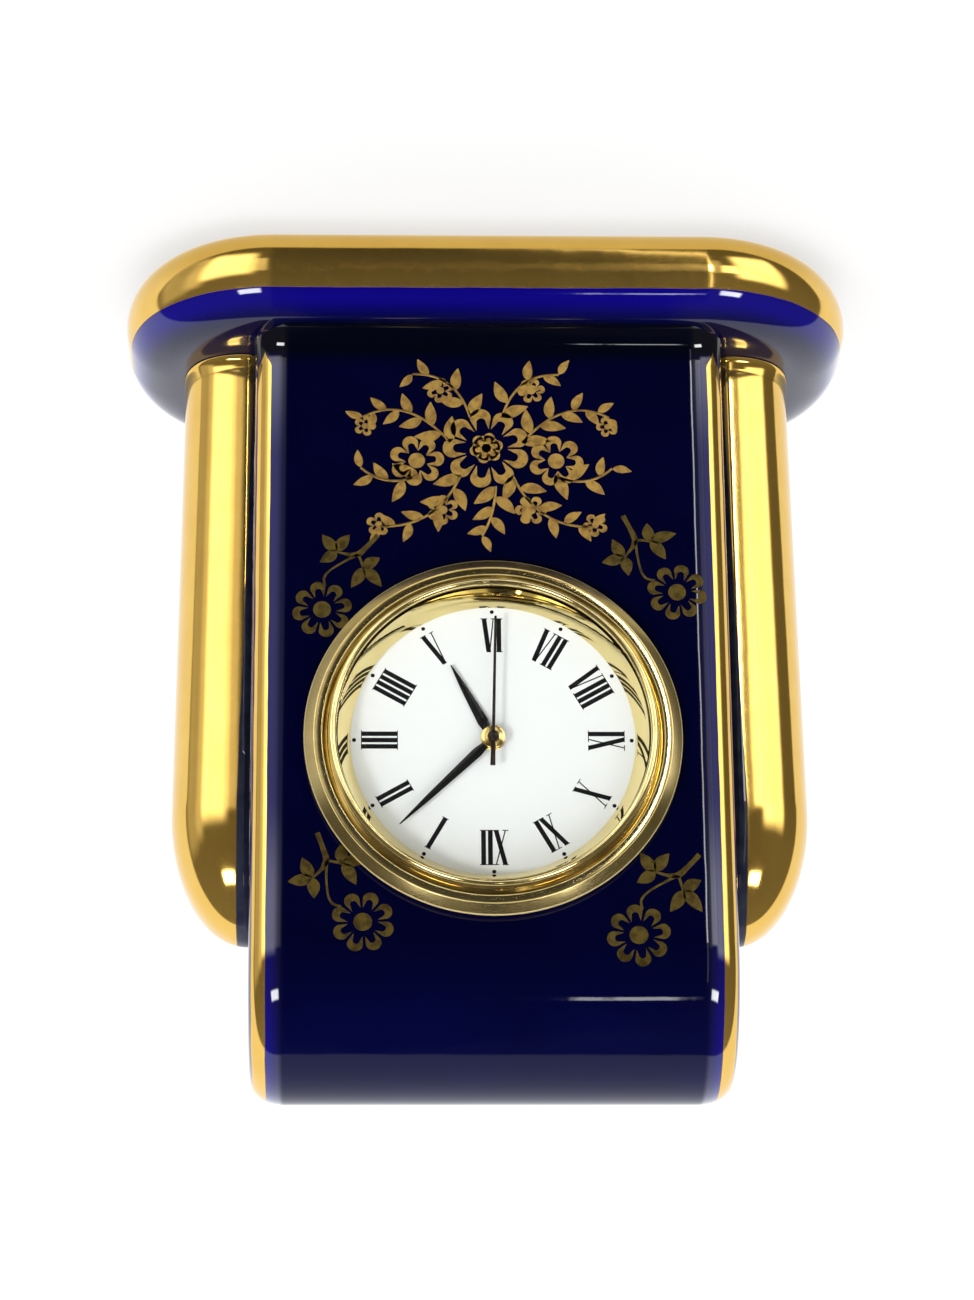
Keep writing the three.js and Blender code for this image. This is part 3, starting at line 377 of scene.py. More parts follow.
@dataclass(frozen=True)
class Metal(Finish):
    """Bare or plated metal with fine working marks."""

    colour: Colour = (0.8, 0.62, 0.3)
    tarnish: Colour = (0.6, 0.44, 0.18)
    roughness: float = 0.15
    grain: Grain = Grain.MOULDED
    depth: float = 0.004
    haze: float = 0.0
    worn: tuple[float, ...] = ()
    worn_half: float = 0.05
    worn_soft: float = 0.03
    worn_rough: float = 0.25
    worn_matt: float = 0.45
    dull_from: float = 0.0
    dull_soft: float = 0.1
    dull_share: float = 0.6
    dull_rough: float = 0.08
    # painted shade: the darker colour of the outer band dims its reflections
    dulled_shade: Colour = (0.36, 0.28, 0.12)
    turned_lines: float = 14.0
    axis_height: float = 54.6

    def radius(self, p: Paint) -> Link:
        """Distance from the dial's axis."""
        across = p.z - self.axis_height
        return (p.x * p.x + across * across) ** 0.5

    def wear(self, p: Paint) -> Link | float:
        """Is 1 along the edges, given by their radii, where the polish is rubbed matt."""
        rubbed: Link | float = 0.0
        for edge in self.worn:
            inner, outer = edge - self.worn_half, edge + self.worn_half
            rubbed = p.band(self.radius(p), inner, outer, self.worn_soft) + rubbed
        return rubbed

    def marks(self, p: Paint) -> Link:
        """Makes the working marks as a height."""
        if self.grain is Grain.TURNED:
            lines = self.radius(p) * self.turned_lines
            return p.node("ShaderNodeTexNoise", {"W": lines, "Scale": 1.0, "Detail": 3.0},
                          noise_dimensions="1D")
        if self.grain is Grain.DRAWN:
            return p.noise(0.12, 3.0, (0.05, 1, 1))
        return p.noise(0.2, 3.0)

    def paint(self, p: Paint) -> Link:
        """Builds the metal."""
        marks = self.marks(p)
        cloud = p.noise(2.5, 4.0)
        colour = p.mix(p.step(cloud, 0.35, 0.8), self.colour, self.tarnish)
        wear = self.wear(p)
        rough = self.roughness * (0.6 + marks * 0.5 + cloud * 0.3) + wear * self.worn_rough
        # the outer band is made rougher, and darker as painted shade that dims its reflections
        if self.dull_from:
            dull = p.step(self.radius(p), self.dull_from, self.dull_from + self.dull_soft)
            colour = p.mix(dull * self.dull_share, colour, self.dulled_shade)
            rough = rough + dull * self.dull_rough
        return p.principled(Base_Color=colour, Roughness=rough,
                            Metallic=1.0 - self.haze - wear * self.worn_matt,
                            Normal=p.bump(marks, self.depth))


@dataclass(frozen=True)
class PrintedGold(Finish):
    """Matt gold transfer fired on the glaze, thin and a little uneven."""

    colour: Colour = (0.092, 0.063, 0.0105)
    thin: Colour = (0.041, 0.027, 0.0048)

    def paint(self, p: Paint) -> Link:
        """Builds the transfer."""
        body = p.step(p.noise(0.7, 4.0), 0.3, 0.62)
        colour = p.mix(body, self.thin, self.colour)
        return p.principled(Base_Color=colour, Metallic=0.85, Roughness=0.34 + body * 0.08,
                            Normal=p.bump(p.noise(0.15, 2.0), 0.006))


@dataclass(frozen=True)
class Painted(Finish):
    """Paint, ink, enamel or plastic with a fine texture."""

    colour: Colour = (0.02, 0.02, 0.02)
    shade: Colour = (0.01, 0.01, 0.01)
    roughness: float = 0.3
    patch: float = 3.0
    texture: float = 0.12
    depth: float = 0.004
    index: float = 1.45

    def paint(self, p: Paint) -> Link:
        """Builds the coat."""
        colour = p.mix(p.noise(self.patch, 3.0), self.shade, self.colour)
        fine = p.noise(self.texture, 2.0)
        return p.principled(Base_Color=colour, Roughness=self.roughness * (0.75 + fine * 0.5),
                            IOR=self.index, Normal=p.bump(fine, self.depth))


@dataclass(frozen=True)
class Board(Finish):
    """Green circuit board with paler tracks under the solder mask."""

    mask: Colour = (0.012, 0.085, 0.03)
    track: Colour = (0.03, 0.2, 0.06)
    pitch: float = 0.9

    def paint(self, p: Paint) -> Link:
        """Builds the mask and the tracks."""
        cells = p.node("ShaderNodeTexVoronoi", {"Vector": p.place, "Scale": 1 / self.pitch},
                       "Distance", distance="CHEBYCHEV", feature="F1")
        tracks = p.band(cells, 0.3, 0.45, 0.03)
        colour = p.mix(tracks, self.mask, self.track)
        return p.principled(Base_Color=colour, Roughness=0.3 + p.noise(0.3) * 0.1,
                            Normal=p.bump(tracks, 0.02))


@dataclass(frozen=True)
class Glass(Finish):
    """Clear flat glass: mostly see-through, with a gloss that grows at a slant."""

    straight: float = 0.04

    def paint(self, p: Paint) -> Link:
        """Builds the glass."""
        gloss = p.principled(Base_Color=(0.95, 0.97, 0.97, 1.0), Metallic=1.0,
                             Roughness=0.012 + p.step(p.noise(0.6, 5.0), 0.62, 0.8) * 0.05)
        clear = p.node("ShaderNodeBsdfTransparent", {"Color": (0.985, 0.992, 0.99, 1.0)})
        slant = p.node("ShaderNodeLayerWeight", {"Blend": 0.5}, "Facing")
        share = self.straight + slant ** 5.0 * (1.0 - self.straight)
        return p.node("ShaderNodeMixShader", {"Fac": share, "Shader": [clear, gloss]})


@dataclass(frozen=True)
class Finishes:
    """Every finish of the clock."""

    body: Finish = Porcelain("glazed_body", Gilding.BODY)
    base: Finish = Porcelain("glazed_base", Gilding.BASE)
    column: Finish = Porcelain("gilt_column", Gilding.COLUMN)
    biscuit: Finish = Biscuit("biscuit")
    transfer: Finish = PrintedGold("gold_transfer")
    rich_transfer: Finish = PrintedGold("rich_gold_transfer", (0.38, 0.235, 0.055),
                                        (0.22, 0.125, 0.03))
    bezel: Finish = Metal("bezel_brass", (0.76, 0.62, 0.29), (0.58, 0.45, 0.18), 0.08, Grain.TURNED,
                          depth=0.0012, haze=0.035, worn=(18.46, 17.47, 16.72, 15.68),
                          dull_from=17.5)
    mirror: Finish = Metal("cone_gold", (0.91, 0.76, 0.37), (0.86, 0.69, 0.30), 0.02, Grain.TURNED,
                           depth=0.0002)
    boss: Finish = Metal("boss_gold", (0.88, 0.66, 0.26), (0.78, 0.55, 0.18), 0.1)
    wheel: Finish = Metal("wheel_brass", (0.78, 0.57, 0.22), (0.55, 0.38, 0.13), 0.25)
    steel: Finish = Metal("steel", (0.56, 0.56, 0.55), (0.42, 0.41, 0.39), 0.28, Grain.DRAWN)
    wire: Finish = Metal("copper_wire", (0.80, 0.33, 0.14), (0.62, 0.22, 0.08), 0.24)
    dial: Finish = Painted("dial_white", (0.91, 0.92, 0.915), (0.89, 0.90, 0.895), 0.45,
                           patch=6.0, texture=0.1, depth=0.0006)
    ink: Finish = Painted("dial_ink", (0.010, 0.010, 0.011), (0.005, 0.005, 0.006), 0.5,
                          patch=1.0, texture=0.08, depth=0.001, index=1.15)
    lacquer: Finish = Painted("hand_lacquer", (0.008, 0.008, 0.008), (0.005, 0.005, 0.005), 0.2,
                              patch=1.5, texture=0.3, depth=0.001, index=1.3)
    cap: Finish = Painted("cap_lacquer", (0.022, 0.012, 0.008), (0.01, 0.006, 0.005), 0.2,
                          patch=0.6, texture=0.2, depth=0.001, index=1.35)
    rubber: Finish = Painted("grip_rubber", (0.022, 0.022, 0.023), (0.014, 0.014, 0.014), 0.62,
                             patch=2.0, texture=0.15, depth=0.012)
    black: Finish = Painted("black_plastic", (0.026, 0.026, 0.028), (0.018, 0.018, 0.019), 0.42,
                            texture=0.14, depth=0.008)
    white: Finish = Painted("white_plastic", (0.74, 0.74, 0.71), (0.66, 0.66, 0.62), 0.4,
                            texture=0.16, depth=0.006)
    board: Finish = Board("circuit_board")
    glass: Finish = Glass("crystal_glass")


FINISH = Finishes()


def add_object(name: str, data: bpy.types.ID) -> Thing:
    """Makes an object and links it to the scene."""
    made = bpy.data.objects.new(name, data)
    bpy.context.scene.collection.objects.link(made)
    return made


def settle(name: str, shape: bmesh.types.BMesh) -> Thing:
    """Turns an edited mesh into an object."""
    mesh = bpy.data.meshes.new(name)
    shape.to_mesh(mesh)
    shape.free()
    return add_object(name, mesh)


def new_object(name: str, points: Iterable[Sequence[float]], faces: Iterable[Sequence[int]],
               unit: float = MM) -> Thing:
    """Makes a mesh object with merged points and outward faces.

    Args:
        name: object name.
        points: vertices.
        faces: vertex numbers of each face.
        unit: length of one unit of the points, in metres.

    Returns:
        The object, linked to the scene.
    """
    shape = bmesh.new()
    verts = [shape.verts.new(Vector(p) * unit) for p in points]
    for face in faces:
        shape.faces.new([verts[i] for i in face])
    bmesh.ops.remove_doubles(shape, verts=shape.verts, dist=unit * 1e-4)
    bmesh.ops.recalc_face_normals(shape, faces=shape.faces)
    return settle(name, shape)


def discard(*things: Thing) -> None:
    """Removes helper objects from the file."""
    for thing in things:
        bpy.data.objects.remove(thing)


def bake(thing: Thing) -> Thing:
    """Turns an object with modifiers into a plain mesh."""
    graph = bpy.context.evaluated_depsgraph_get()
    mesh = bpy.data.meshes.new_from_object(thing.evaluated_get(graph))
    thing.modifiers.clear()
    thing.data = mesh
    return thing


def cut(thing: Thing, *tools: Thing) -> Thing:
    """Takes the tools' shapes out of an object and discards the tools."""
    for tool in tools:
        modifier = thing.modifiers.new("cut", "BOOLEAN")
        modifier.object = tool
        modifier.operation = "DIFFERENCE"
        modifier.solver = "EXACT"
    bake(thing)
    discard(*tools)
    return thing


def join(name: str, parts: Sequence[Thing]) -> Thing:
    """Joins meshes that share one material into one object and discards the parts."""
    shape = bmesh.new()
    for part in parts:
        shape.from_mesh(part.data)
    discard(*parts)
    return settle(name, shape)


def smooth(thing: Thing, angle: float = 32.0) -> Thing:
    """Shades an object smooth, with edges sharper than the angle left crisp and flats kept flat."""
    thing.data.shade_smooth()
    thing.data.set_sharp_from_angle(angle=math.radians(angle))
    modifier = thing.modifiers.new("normals", "WEIGHTED_NORMAL")
    modifier.keep_sharp = True
    return bake(thing)


def dress(thing: Thing, body: str, slot: str, *finishes: Finish,
          stands_for: Sequence[str] = ()) -> Thing:
    """Gives a piece its finishes and ties it to the frame.

    Args:
        thing: the piece.
        body: CAD body it moves with.
        slot: not used.
        finishes: one finish for each material index.
        stands_for: CAD nodes the piece replaces.

    Returns:
        The piece.
    """
    thing.data.materials.clear()
    for finish in finishes:
        thing.data.materials.append(finish.material())
    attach(thing, body)
    if stands_for:
        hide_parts(*stands_for)
    LOG.info("%s: %d faces on %s", thing.name, len(thing.data.polygons), body)
    return thing


def shares(count: int) -> list[float]:
    """Even steps from 0 to 1."""
    return [i / count for i in range(count + 1)]


def arc(middle: Point, across: float, up: float, start: float, end: float,
        steps: int) -> list[Point]:
    """Points of an elliptic arc, with angles in degrees from the first axis."""
    turns = [math.radians(start + (end - start) * i / steps) for i in range(steps + 1)]
    return [(middle[0] + across * math.cos(t), middle[1] + up * math.sin(t)) for t in turns]


def circle(radius: float, steps: int, middle: Point = (0, 0)) -> list[Point]:
    """Points of a circle."""
    return arc(middle, radius, radius, 0, 360, steps)[:-1]


def skin(first: int, second: int, count: int) -> list[list[int]]:
    """Faces between two closed rings of points, given by the numbers of their first points."""
    pairs = [(i, (i + 1) % count) for i in range(count)]
    return [[first + i, first + j, second + j, second + i] for i, j in pairs]


def loft(name: str, rings: Sequence[Sequence[Sequence[float]]]) -> Thing:
    """Skins closed rings of equal length and caps both ends."""
    count = len(rings[0])
    points = [p for ring in rings for p in ring]
    last = len(points) - count
    faces = [list(range(count)), list(range(last, len(points)))]
    for row in range(0, last, count):
        faces += skin(row, row + count, count)
    return new_object(name, points, faces)


def block(name: str, outline: Sequence[Point], low: float, high: float) -> Thing:
    """Raises an outline in XY from one height to another."""
    return loft(name, [[(x, y, z) for x, y in outline] for z in (low, high)])


def rounded_rectangle(half_x: float, half_y: float, corner: float, steps: int) -> list[Point]:
    """Outline of a rectangle with round corners."""
    outline: list[Point] = []
    for number, (sx, sy) in enumerate(((1, 1), (-1, 1), (-1, -1), (1, -1))):
        middle = (sx * (half_x - corner), sy * (half_y - corner))
        outline += arc(middle, corner, corner, 90 * number, 90 * number + 90, steps)
    return outline


def prism(name: str, outlines: Iterable[Sequence[Point]], height: float) -> Thing:
    """Raises flat outlines from the XY plane, in millimetres, as thin closed solids."""
    points: list[Sequence[float]] = []
    faces: list[list[int]] = []
    for outline in outlines:
        first, count = len(points), len(outline)
        points += [(x, y, z) for z in (-height, height) for x, y in outline]
        faces += [list(range(start, start + count)) for start in (first, first + count)]
        faces += skin(first, first + count, count)
    return new_object(name, points, faces, 1.0)


def ribbon(path: Sequence[Point], widths: Sequence[float], steps: int = 6) -> list[Point]:
    """Outline of a smooth stroke through some points, with a width at each."""
    fine: list[tuple[Vector, float]] = []
    for i in range(len(path) - 1):
        nearby = (min(max(i + k, 0), len(path) - 1) for k in (-1, 0, 1, 2))
        before, start, end, after = (Vector(path[k]) for k in nearby)
        for s in range(steps + (i == len(path) - 2)):
            t = s / steps
            place = 0.5 * (2 * start + (end - before) * t
                           + (2 * before - 5 * start + 4 * end - after) * t ** 2
                           + (3 * start - before - 3 * end + after) * t ** 3)
            fine.append((place, widths[i] + (widths[i + 1] - widths[i]) * t))
    left: list[Point] = []
    right: list[Point] = []
    for i, (place, width) in enumerate(fine):
        along = (fine[min(i + 1, len(fine) - 1)][0] - fine[max(i - 1, 0)][0]).normalized()
        side = Vector((-along.y, along.x)) * width / 2
        left.append(tuple(place + side))
        right.append(tuple(place - side))
    return left + right[::-1]


def leaf(root: Point, tip: Point, width: float, bend: float = 0.0, steps: int = 8) -> list[Point]:
    """Outline of a pointed leaf from root to tip."""
    start, end = Vector(root), Vector(tip)
    along = end - start
    side = Vector((-along.y, along.x)).normalized()
    outline: list[Point] = []
    for sign in (1, -1):
        for share in shares(steps):
            t = share if sign > 0 else 1 - share
            swell = math.sin(math.pi * t ** 0.8) ** 0.85 if 0 < t < 1 else 0.06
            reach = sign * swell * width / 2 + bend * math.sin(math.pi * t)
            outline.append(tuple(start + along * t + side * reach))
    return outline


class GeometryTree(Tree):
    """A geometry node tree with named inputs, grown into plain meshes."""

    curve_steps: int = 24

    def __init__(self, name: str, sockets: dict[str, str]) -> None:
        self.group = bpy.data.node_groups.new(name, "GeometryNodeTree")
        super().__init__(self.group)
        for label, kind in sockets.items():
            self.socket(label, "INPUT", kind)
        self.socket("Geometry", "OUTPUT", "Geometry")
        inner = self.nodes.nodes.new("NodeGroupInput")
        self.given = {label: Link(self, inner.outputs[label]) for label in sockets}

    def socket(self, label: str, direction: str, kind: str) -> None:
        """Adds an input or output to the tree."""
        self.group.interface.new_socket(name=label, in_out=direction,
                                        socket_type="NodeSocket" + kind)

    def shape(self, label: str) -> Link:
        """Reads the geometry of an object that is given as an input."""
        return self.node("GeometryNodeObjectInfo", {"Object": self.given[label]}, "Geometry")

    def facing(self, field: str) -> Link:
        """Makes a rotation that lays X along a field of directions."""
        return self.node("FunctionNodeAlignRotationToVector", {"Vector": self.node(field)},
                         axis="X")

    def close(self, geometry: Link) -> None:
        """Ends the tree with real geometry in the given material."""
        real = self.node("GeometryNodeRealizeInstances", {"Geometry": geometry})
        done = self.node("GeometryNodeSetMaterial",
                         {"Geometry": real, "Material": self.given["Material"]})
        self.node("NodeGroupOutput", {"Geometry": done})

    def grow(self, name: str, **values: Any) -> Thing:
        """Runs the tree.

        Args:
            name: name of the object made.
            values: the tree's inputs by name.

        Returns:
            A plain mesh object.
        """
        thing = add_object(name, bpy.data.meshes.new(name))
        modifier = thing.modifiers.new("grow", "NODES")
        modifier.node_group = self.group
        for item in self.group.interface.items_tree:
            if item.in_out == "INPUT":
                modifier[item.identifier] = values[item.name]
        return bake(thing)


class RingTree(GeometryTree):
    """Sets copies of a shape round a circle, turned outward."""

    def __init__(self) -> None:
        super().__init__("ring_of_shapes", {
            "Shape": "Object", "Count": "Int", "Radius": "Float", "Turn": "Float",
            "Material": "Material"})
        spots = self.node("GeometryNodeMeshCircle",
                          {"Vertices": self.given["Count"], "Radius": self.given["Radius"]})
        ring = self.node("GeometryNodeInstanceOnPoints",
                         {"Points": spots, "Instance": self.shape("Shape"),
                          "Rotation": self.facing("GeometryNodeInputPosition")})
        turn = self.node("ShaderNodeCombineXYZ", {"Z": self.given["Turn"]})
        self.close(self.node("GeometryNodeTransform", {"Geometry": ring, "Rotation": turn}))


class BranchTree(GeometryTree):
    """Grows a curved stem with leaves on alternate sides, smaller toward the tip."""

    leaf_angle: float = 0.85
    leaf_shrink: float = 0.4

    def __init__(self) -> None:
        super().__init__("leafy_branch", {
            "Start": "Vector", "Middle": "Vector", "End": "Vector", "Leaf": "Object",
            "Count": "Int", "Width": "Float", "Height": "Float", "Material": "Material"})
        ends = {label: self.given[label] for label in ("Start", "Middle", "End")}
        curve = self.node("GeometryNodeCurveQuadraticBezier",
                          {"Resolution": self.curve_steps, **ends})
        section = self.node("GeometryNodeCurvePrimitiveQuadrilateral",
                            {"Width": self.given["Width"], "Height": self.given["Height"]})
        stem = self.node("GeometryNodeCurveToMesh",
                         {"Curve": curve, "Profile Curve": section, "Fill Caps": True})
        points = self.node("GeometryNodeResampleCurve",
                           {"Curve": curve, "Count": self.given["Count"]}, mode="COUNT")
        index = self.node("GeometryNodeInputIndex")
        side = self.math("MODULO", index, 2.0) * 2.0 - 1.0
        spread = self.node("ShaderNodeCombineXYZ", {"Z": side * self.leaf_angle})
        along = self.facing("GeometryNodeInputTangent")
        turned = self.node("FunctionNodeRotateRotation",
                           {"Rotation": along, "Rotate By": spread}, rotation_space="LOCAL")
        size = 1.0 - index / self.given["Count"] * self.leaf_shrink
        leaves = self.node("GeometryNodeInstanceOnPoints",
                           {"Points": points, "Instance": self.shape("Leaf"), "Rotation": turned,
                            "Scale": size})
        joined = self.node("GeometryNodeJoinGeometry", {"Geometry": leaves})
        self.nodes.links.new(stem.socket, joined.socket.node.inputs[0])
        self.close(joined)


class WindingTree(GeometryTree):
    """Winds a round wire into a coil along an axis."""

    def __init__(self) -> None:
        super().__init__("wound_wire", {
            "Turns": "Float", "Radius": "Float", "Length": "Float", "Wire": "Float",
            "Tilt": "Vector", "Place": "Vector", "Material": "Material"})
        radius = self.given["Radius"]
        helix = self.node("GeometryNodeCurveSpiral", {
            "Resolution": self.curve_steps, "Rotations": self.given["Turns"],
            "Height": self.given["Length"], "Start Radius": radius, "End Radius": radius})
        section = self.node("GeometryNodeCurvePrimitiveCircle",
                            {"Resolution": 8, "Radius": self.given["Wire"]})
        wire = self.node("GeometryNodeCurveToMesh",
                         {"Curve": helix, "Profile Curve": section, "Fill Caps": True})
        middle = self.node("ShaderNodeCombineXYZ", {"Z": self.given["Length"] * -0.5})
        centred = self.node("GeometryNodeTransform", {"Geometry": wire, "Translation": middle})
        self.close(self.node("GeometryNodeTransform",
                             {"Geometry": centred, "Rotation": self.given["Tilt"],
                              "Translation": self.given["Place"]}))


@dataclass
class Body:
    """The hollow upright with its round top and the socket for the insert."""

    edge_run: float = 3.6
    edge_drop: float = 2.8
    edge_power: float = 2.3
    edge_steps: int = 18
    arch_steps: int = 96
    past_column: float = 4.3
    cove: float = 3.6
    cove_steps: int = 14
    wall: float = 3.2
    socket: float = 17.6
    socket_height: float = 54.6
    underside: float = -0.99

    def __post_init__(self) -> None:
        low, high = (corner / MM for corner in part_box("case_body"))
        self.half_width = high.x
        self.half_depth = -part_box("left_column")[0].y / MM + self.past_column
        self.bottom, self.top = low.z, high.z
        self.arch = self.top - self.half_depth
        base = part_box("case_base")[1] / MM
        self.base_round, self.base_edge = base.z / 2, base.y - base.z / 2

    def drop(self, x: float) -> float:
        """How far the rounded edge lies behind the face, at a distance from the middle."""
        run = max(0.0, abs(x) - (self.half_width - self.edge_run)) / self.edge_run
        return self.edge_drop * (1 - max(0.0, 1 - run ** self.edge_power) ** (1 / self.edge_power))

    def front(self, x: float, z: float) -> float:
        """Y of the front surface."""
        depth = self.half_depth - self.drop(x)
        rise = max(0.0, z - self.arch)
        return -math.sqrt(max(0.0, depth * depth - rise * rise))

    def drape(self, thing: Thing) -> Thing:
        """Lays a flat drawing, in millimetres in XY, on the front surface."""
        for vertex in thing.data.vertices:
            x, z, height = vertex.co
            vertex.co = Vector((x, self.front(x, z) - height, z)) * MM
        return thing

    def side_path(self) -> list[tuple[Point, Point]]:
        """Outline from the front foot over the top to the back foot, with inward directions."""
        apart = self.half_depth + self.cove - self.base_edge
        rise = math.sqrt((self.cove + self.base_round) ** 2 - apart ** 2)
        middle, start = self.base_round + rise, -math.degrees(math.atan2(rise, apart))
        cove = arc((-self.half_depth - self.cove, middle), self.cove, self.cove, start, 0,
                   self.cove_steps)
        path: list[tuple[Point, Point]] = [(place, (1.0, 0.0)) for place in cove]
        for y, z in arc((0, self.arch), self.half_depth, self.half_depth, 180, 0, self.arch_steps):
            path.append(((y, z), tuple(Vector((-y, self.arch - z)).normalized())))
        return path + [((-y, z), (-1.0, 0.0)) for y, z in cove[::-1]]

    def slab(self) -> Thing:
        """Builds the solid outer form."""
        path = self.side_path()
        flat = self.half_width - self.edge_run
        turns = [math.pi / 2 * share for share in shares(self.edge_steps)]
        power = 2 / self.edge_power
        stations = [(flat + self.edge_run * math.sin(t) ** power,
                     self.edge_drop * (1 - max(0.0, math.cos(t)) ** power)) for t in turns]
        across = [(-x, d) for x, d in stations[::-1]] + stations
        return loft("porcelain_body", [[(x, y + d * ny, z + d * nz) for (y, z), (ny, nz) in path]
                                       for x, d in across])

    def hollow(self) -> Thing:
        """Builds the form of the room inside."""
        depth, width = self.half_depth - self.wall, self.half_width - self.wall
        outline = [(-depth, self.bottom - 2)] + arc((0, self.arch), depth, depth, 180, 0, 48)
        outline.append((depth, self.bottom - 2))
        return loft("hollow", [[(x, y, z) for y, z in outline] for x in (-width, width)])

    def opening(self) -> Thing:
        """Builds the form of the round socket."""
        outline = circle(self.socket, 128, (0, self.socket_height))
        return loft("opening", [[(x, y, z) for x, z in outline]
                                for y in (-self.half_depth - 1, -self.half_depth + self.wall + 1)])

    def build(self) -> None:
        """Builds and dresses the body; the inside and the foot are unglazed."""
        thing = smooth(cut(self.slab(), self.hollow(), self.opening()))
        depth, width = (half - self.wall + SLACK for half in (self.half_depth, self.half_width))
        for face in thing.data.polygons:
            x, y, z = face.center / MM
            inside = abs(x) < width and math.hypot(y, max(0.0, z - self.arch)) < depth
            face.material_index = int(inside or face.normal.z < self.underside)
        dress(thing, "case", "cobalt_glaze", FINISH.body, FINISH.biscuit, stands_for=["case_body"])


@dataclass
class Base:
    """The slab under the body, with a full round edge and an unglazed foot."""

    corner: float = 15.5
    foot: float = 9.5
    recess: float = 1.2
    vent: float = 3.0
    floor: float = 4.4
    hollow_x: float = 20.5
    hollow_y: float = 8.8
    hollow_corner: float = 2.0
    levels: int = 40
    underside: float = -0.985

    def __post_init__(self) -> None:
        self.half_x, self.half_y, self.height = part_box("case_base")[1] / MM
        self.round = self.height / 2

    def outline(self, inset: float, steps: int) -> list[Point]:
        """The outline of the base, drawn in."""
        return rounded_rectangle(self.half_x - inset, self.half_y - inset, self.corner - inset,
                                 steps)

    def build(self) -> None:
        """Builds and dresses the base; the underside and the inside are unglazed."""
        rings = []
        for share in shares(self.levels):
            turn = math.pi * (share - 0.5)
            outline = self.outline(self.round * (1 - math.cos(turn)), 24)
            rings.append([(x, y, self.round + self.round * math.sin(turn)) for x, y in outline])
        thing = loft("porcelain_base", rings)
        room = rounded_rectangle(self.hollow_x, self.hollow_y, self.hollow_corner, 8)
        smooth(cut(thing, block("recess", self.outline(self.foot, 16), -1, self.recess),
                   block("room", room, self.floor, self.height + 1),
                   block("vent", circle(self.vent, 48), -1, self.floor + 1)))
        foot_x, foot_y = (half - self.foot + SLACK for half in (self.half_x, self.half_y))
        room_x, room_y = (half + SLACK for half in (self.hollow_x, self.hollow_y))
        for face in thing.data.polygons:
            x, y, z = face.center / MM
            x, y = abs(x), abs(y)
            under = face.normal.z < self.underside
            inside = x < room_x and y < room_y and z < self.height - 0.01
            rim = z < self.recess and x < foot_x and y < foot_y
            face.material_index = int(under or inside or rim)
        dress(thing, "case", "cobalt_glaze", FINISH.base, FINISH.biscuit, stands_for=["case_base"])


@dataclass
class Column:
    """A gilt oval column against the body's side, with a drawn-in cap and a groove at the wall."""

    node: str
    wall: float = 23.7
    gap: float = 0.1
    standoff: float = 0.5
    half_width: float = 7.55
    foot_width: float = 6.95
    cap: float = 13.2
    tip: float = 0.2
    flare: float = 0.3
    flare_width: float = 0.15
    flare_depth: float = 0.6
    flare_height: float = 1.5
    groove_run: float = 0.6
    groove_depth: float = 0.45
    fullness: float = 0.8
    crowding: float = 0.3
    sides: int = 88
    flare_levels: int = 10
    shaft_levels: int = 12
    cap_levels: int = 40

    def __post_init__(self) -> None:
        low, high = (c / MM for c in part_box(self.node))
        self.side = 1 if high.x + low.x > 0 else -1
        self.half_depth = high.y - self.flare
        self.bottom, self.top = low.z, high.z

    def ring(self, scale: float, width: float, depth: float, z: float) -> list[Sequence[float]]:
        """One level of the column, cut off flat at the wall."""
        middle = self.wall + scale * self.standoff
        across, deep = max(scale * width, self.tip), scale * depth
        cut_off = min(0.999, max(-0.999, (self.wall + self.gap - middle) / across))
        limit = math.acos(math.copysign(abs(cut_off) ** (1 / self.fullness), cut_off))
        ring = []
        for share in shares(self.sides):
            even = 2 * share - 1
            turn = limit * ((1 + self.crowding) * even - self.crowding * even ** 3)
            c, s = (math.copysign(abs(v) ** self.fullness, v)
                    for v in (math.cos(turn), math.sin(turn)))
            x, y = middle + across * c, deep * s
            run = self.groove_run * max(scale, 0.05)
            near = min(1.0, max(0.0, 1 - (x - self.wall - self.gap) / run))
            sink = self.groove_depth * scale * near * near * (3 - 2 * near)
            ring.append((self.side * x, math.copysign(max(0.0, abs(y) - sink), y), z))
        return ring

    def build(self) -> None:
        """Builds and dresses the column."""
        shoulder = self.top - self.cap
        rings = []
        for rise in shares(self.flare_levels):
            reach = 1 - math.sqrt(1 - (1 - rise) ** 2)
            rings.append(self.ring(1, self.foot_width + self.flare_width * reach,
                                   self.half_depth + self.flare_depth * reach,
                                   self.bottom + self.flare_height * rise))
        foot = self.bottom + self.flare_height
        for share in shares(self.shaft_levels)[1:]:
            width = self.foot_width + (self.half_width - self.foot_width) * share
            rings.append(self.ring(1, width, self.half_depth, foot + (shoulder - foot) * share))
        last = math.acos(self.tip / self.half_width)
        for share in shares(self.cap_levels)[1:]:
            turn = last * share
            rings.append(self.ring(math.cos(turn), self.half_width, self.half_depth,
                                   shoulder + self.cap * math.sin(turn)))
        thing = smooth(loft("gilt_" + self.node, rings), 40)
        dress(thing, "case", "burnished_gold", FINISH.column, stands_for=[self.node])


@dataclass(frozen=True)
class SprigPlace:
    """Where a flower sprig lies on the face."""

    name: str
    x: float
    z: float
    turn: float
    size: float


@dataclass(frozen=True)
class Branch:
    """A leafy branch of the spray, as places from the spray's middle."""

    start: Point
    bend: Point
    end: Point
    leaves: int
    sides: tuple[int, ...] = (-1, 1)


@dataclass(frozen=True)
class Bloom:
    """A flower of the spray, with its place from the spray's middle."""

    x: float
    y: float
    size: float
    petals: int
    turn: float


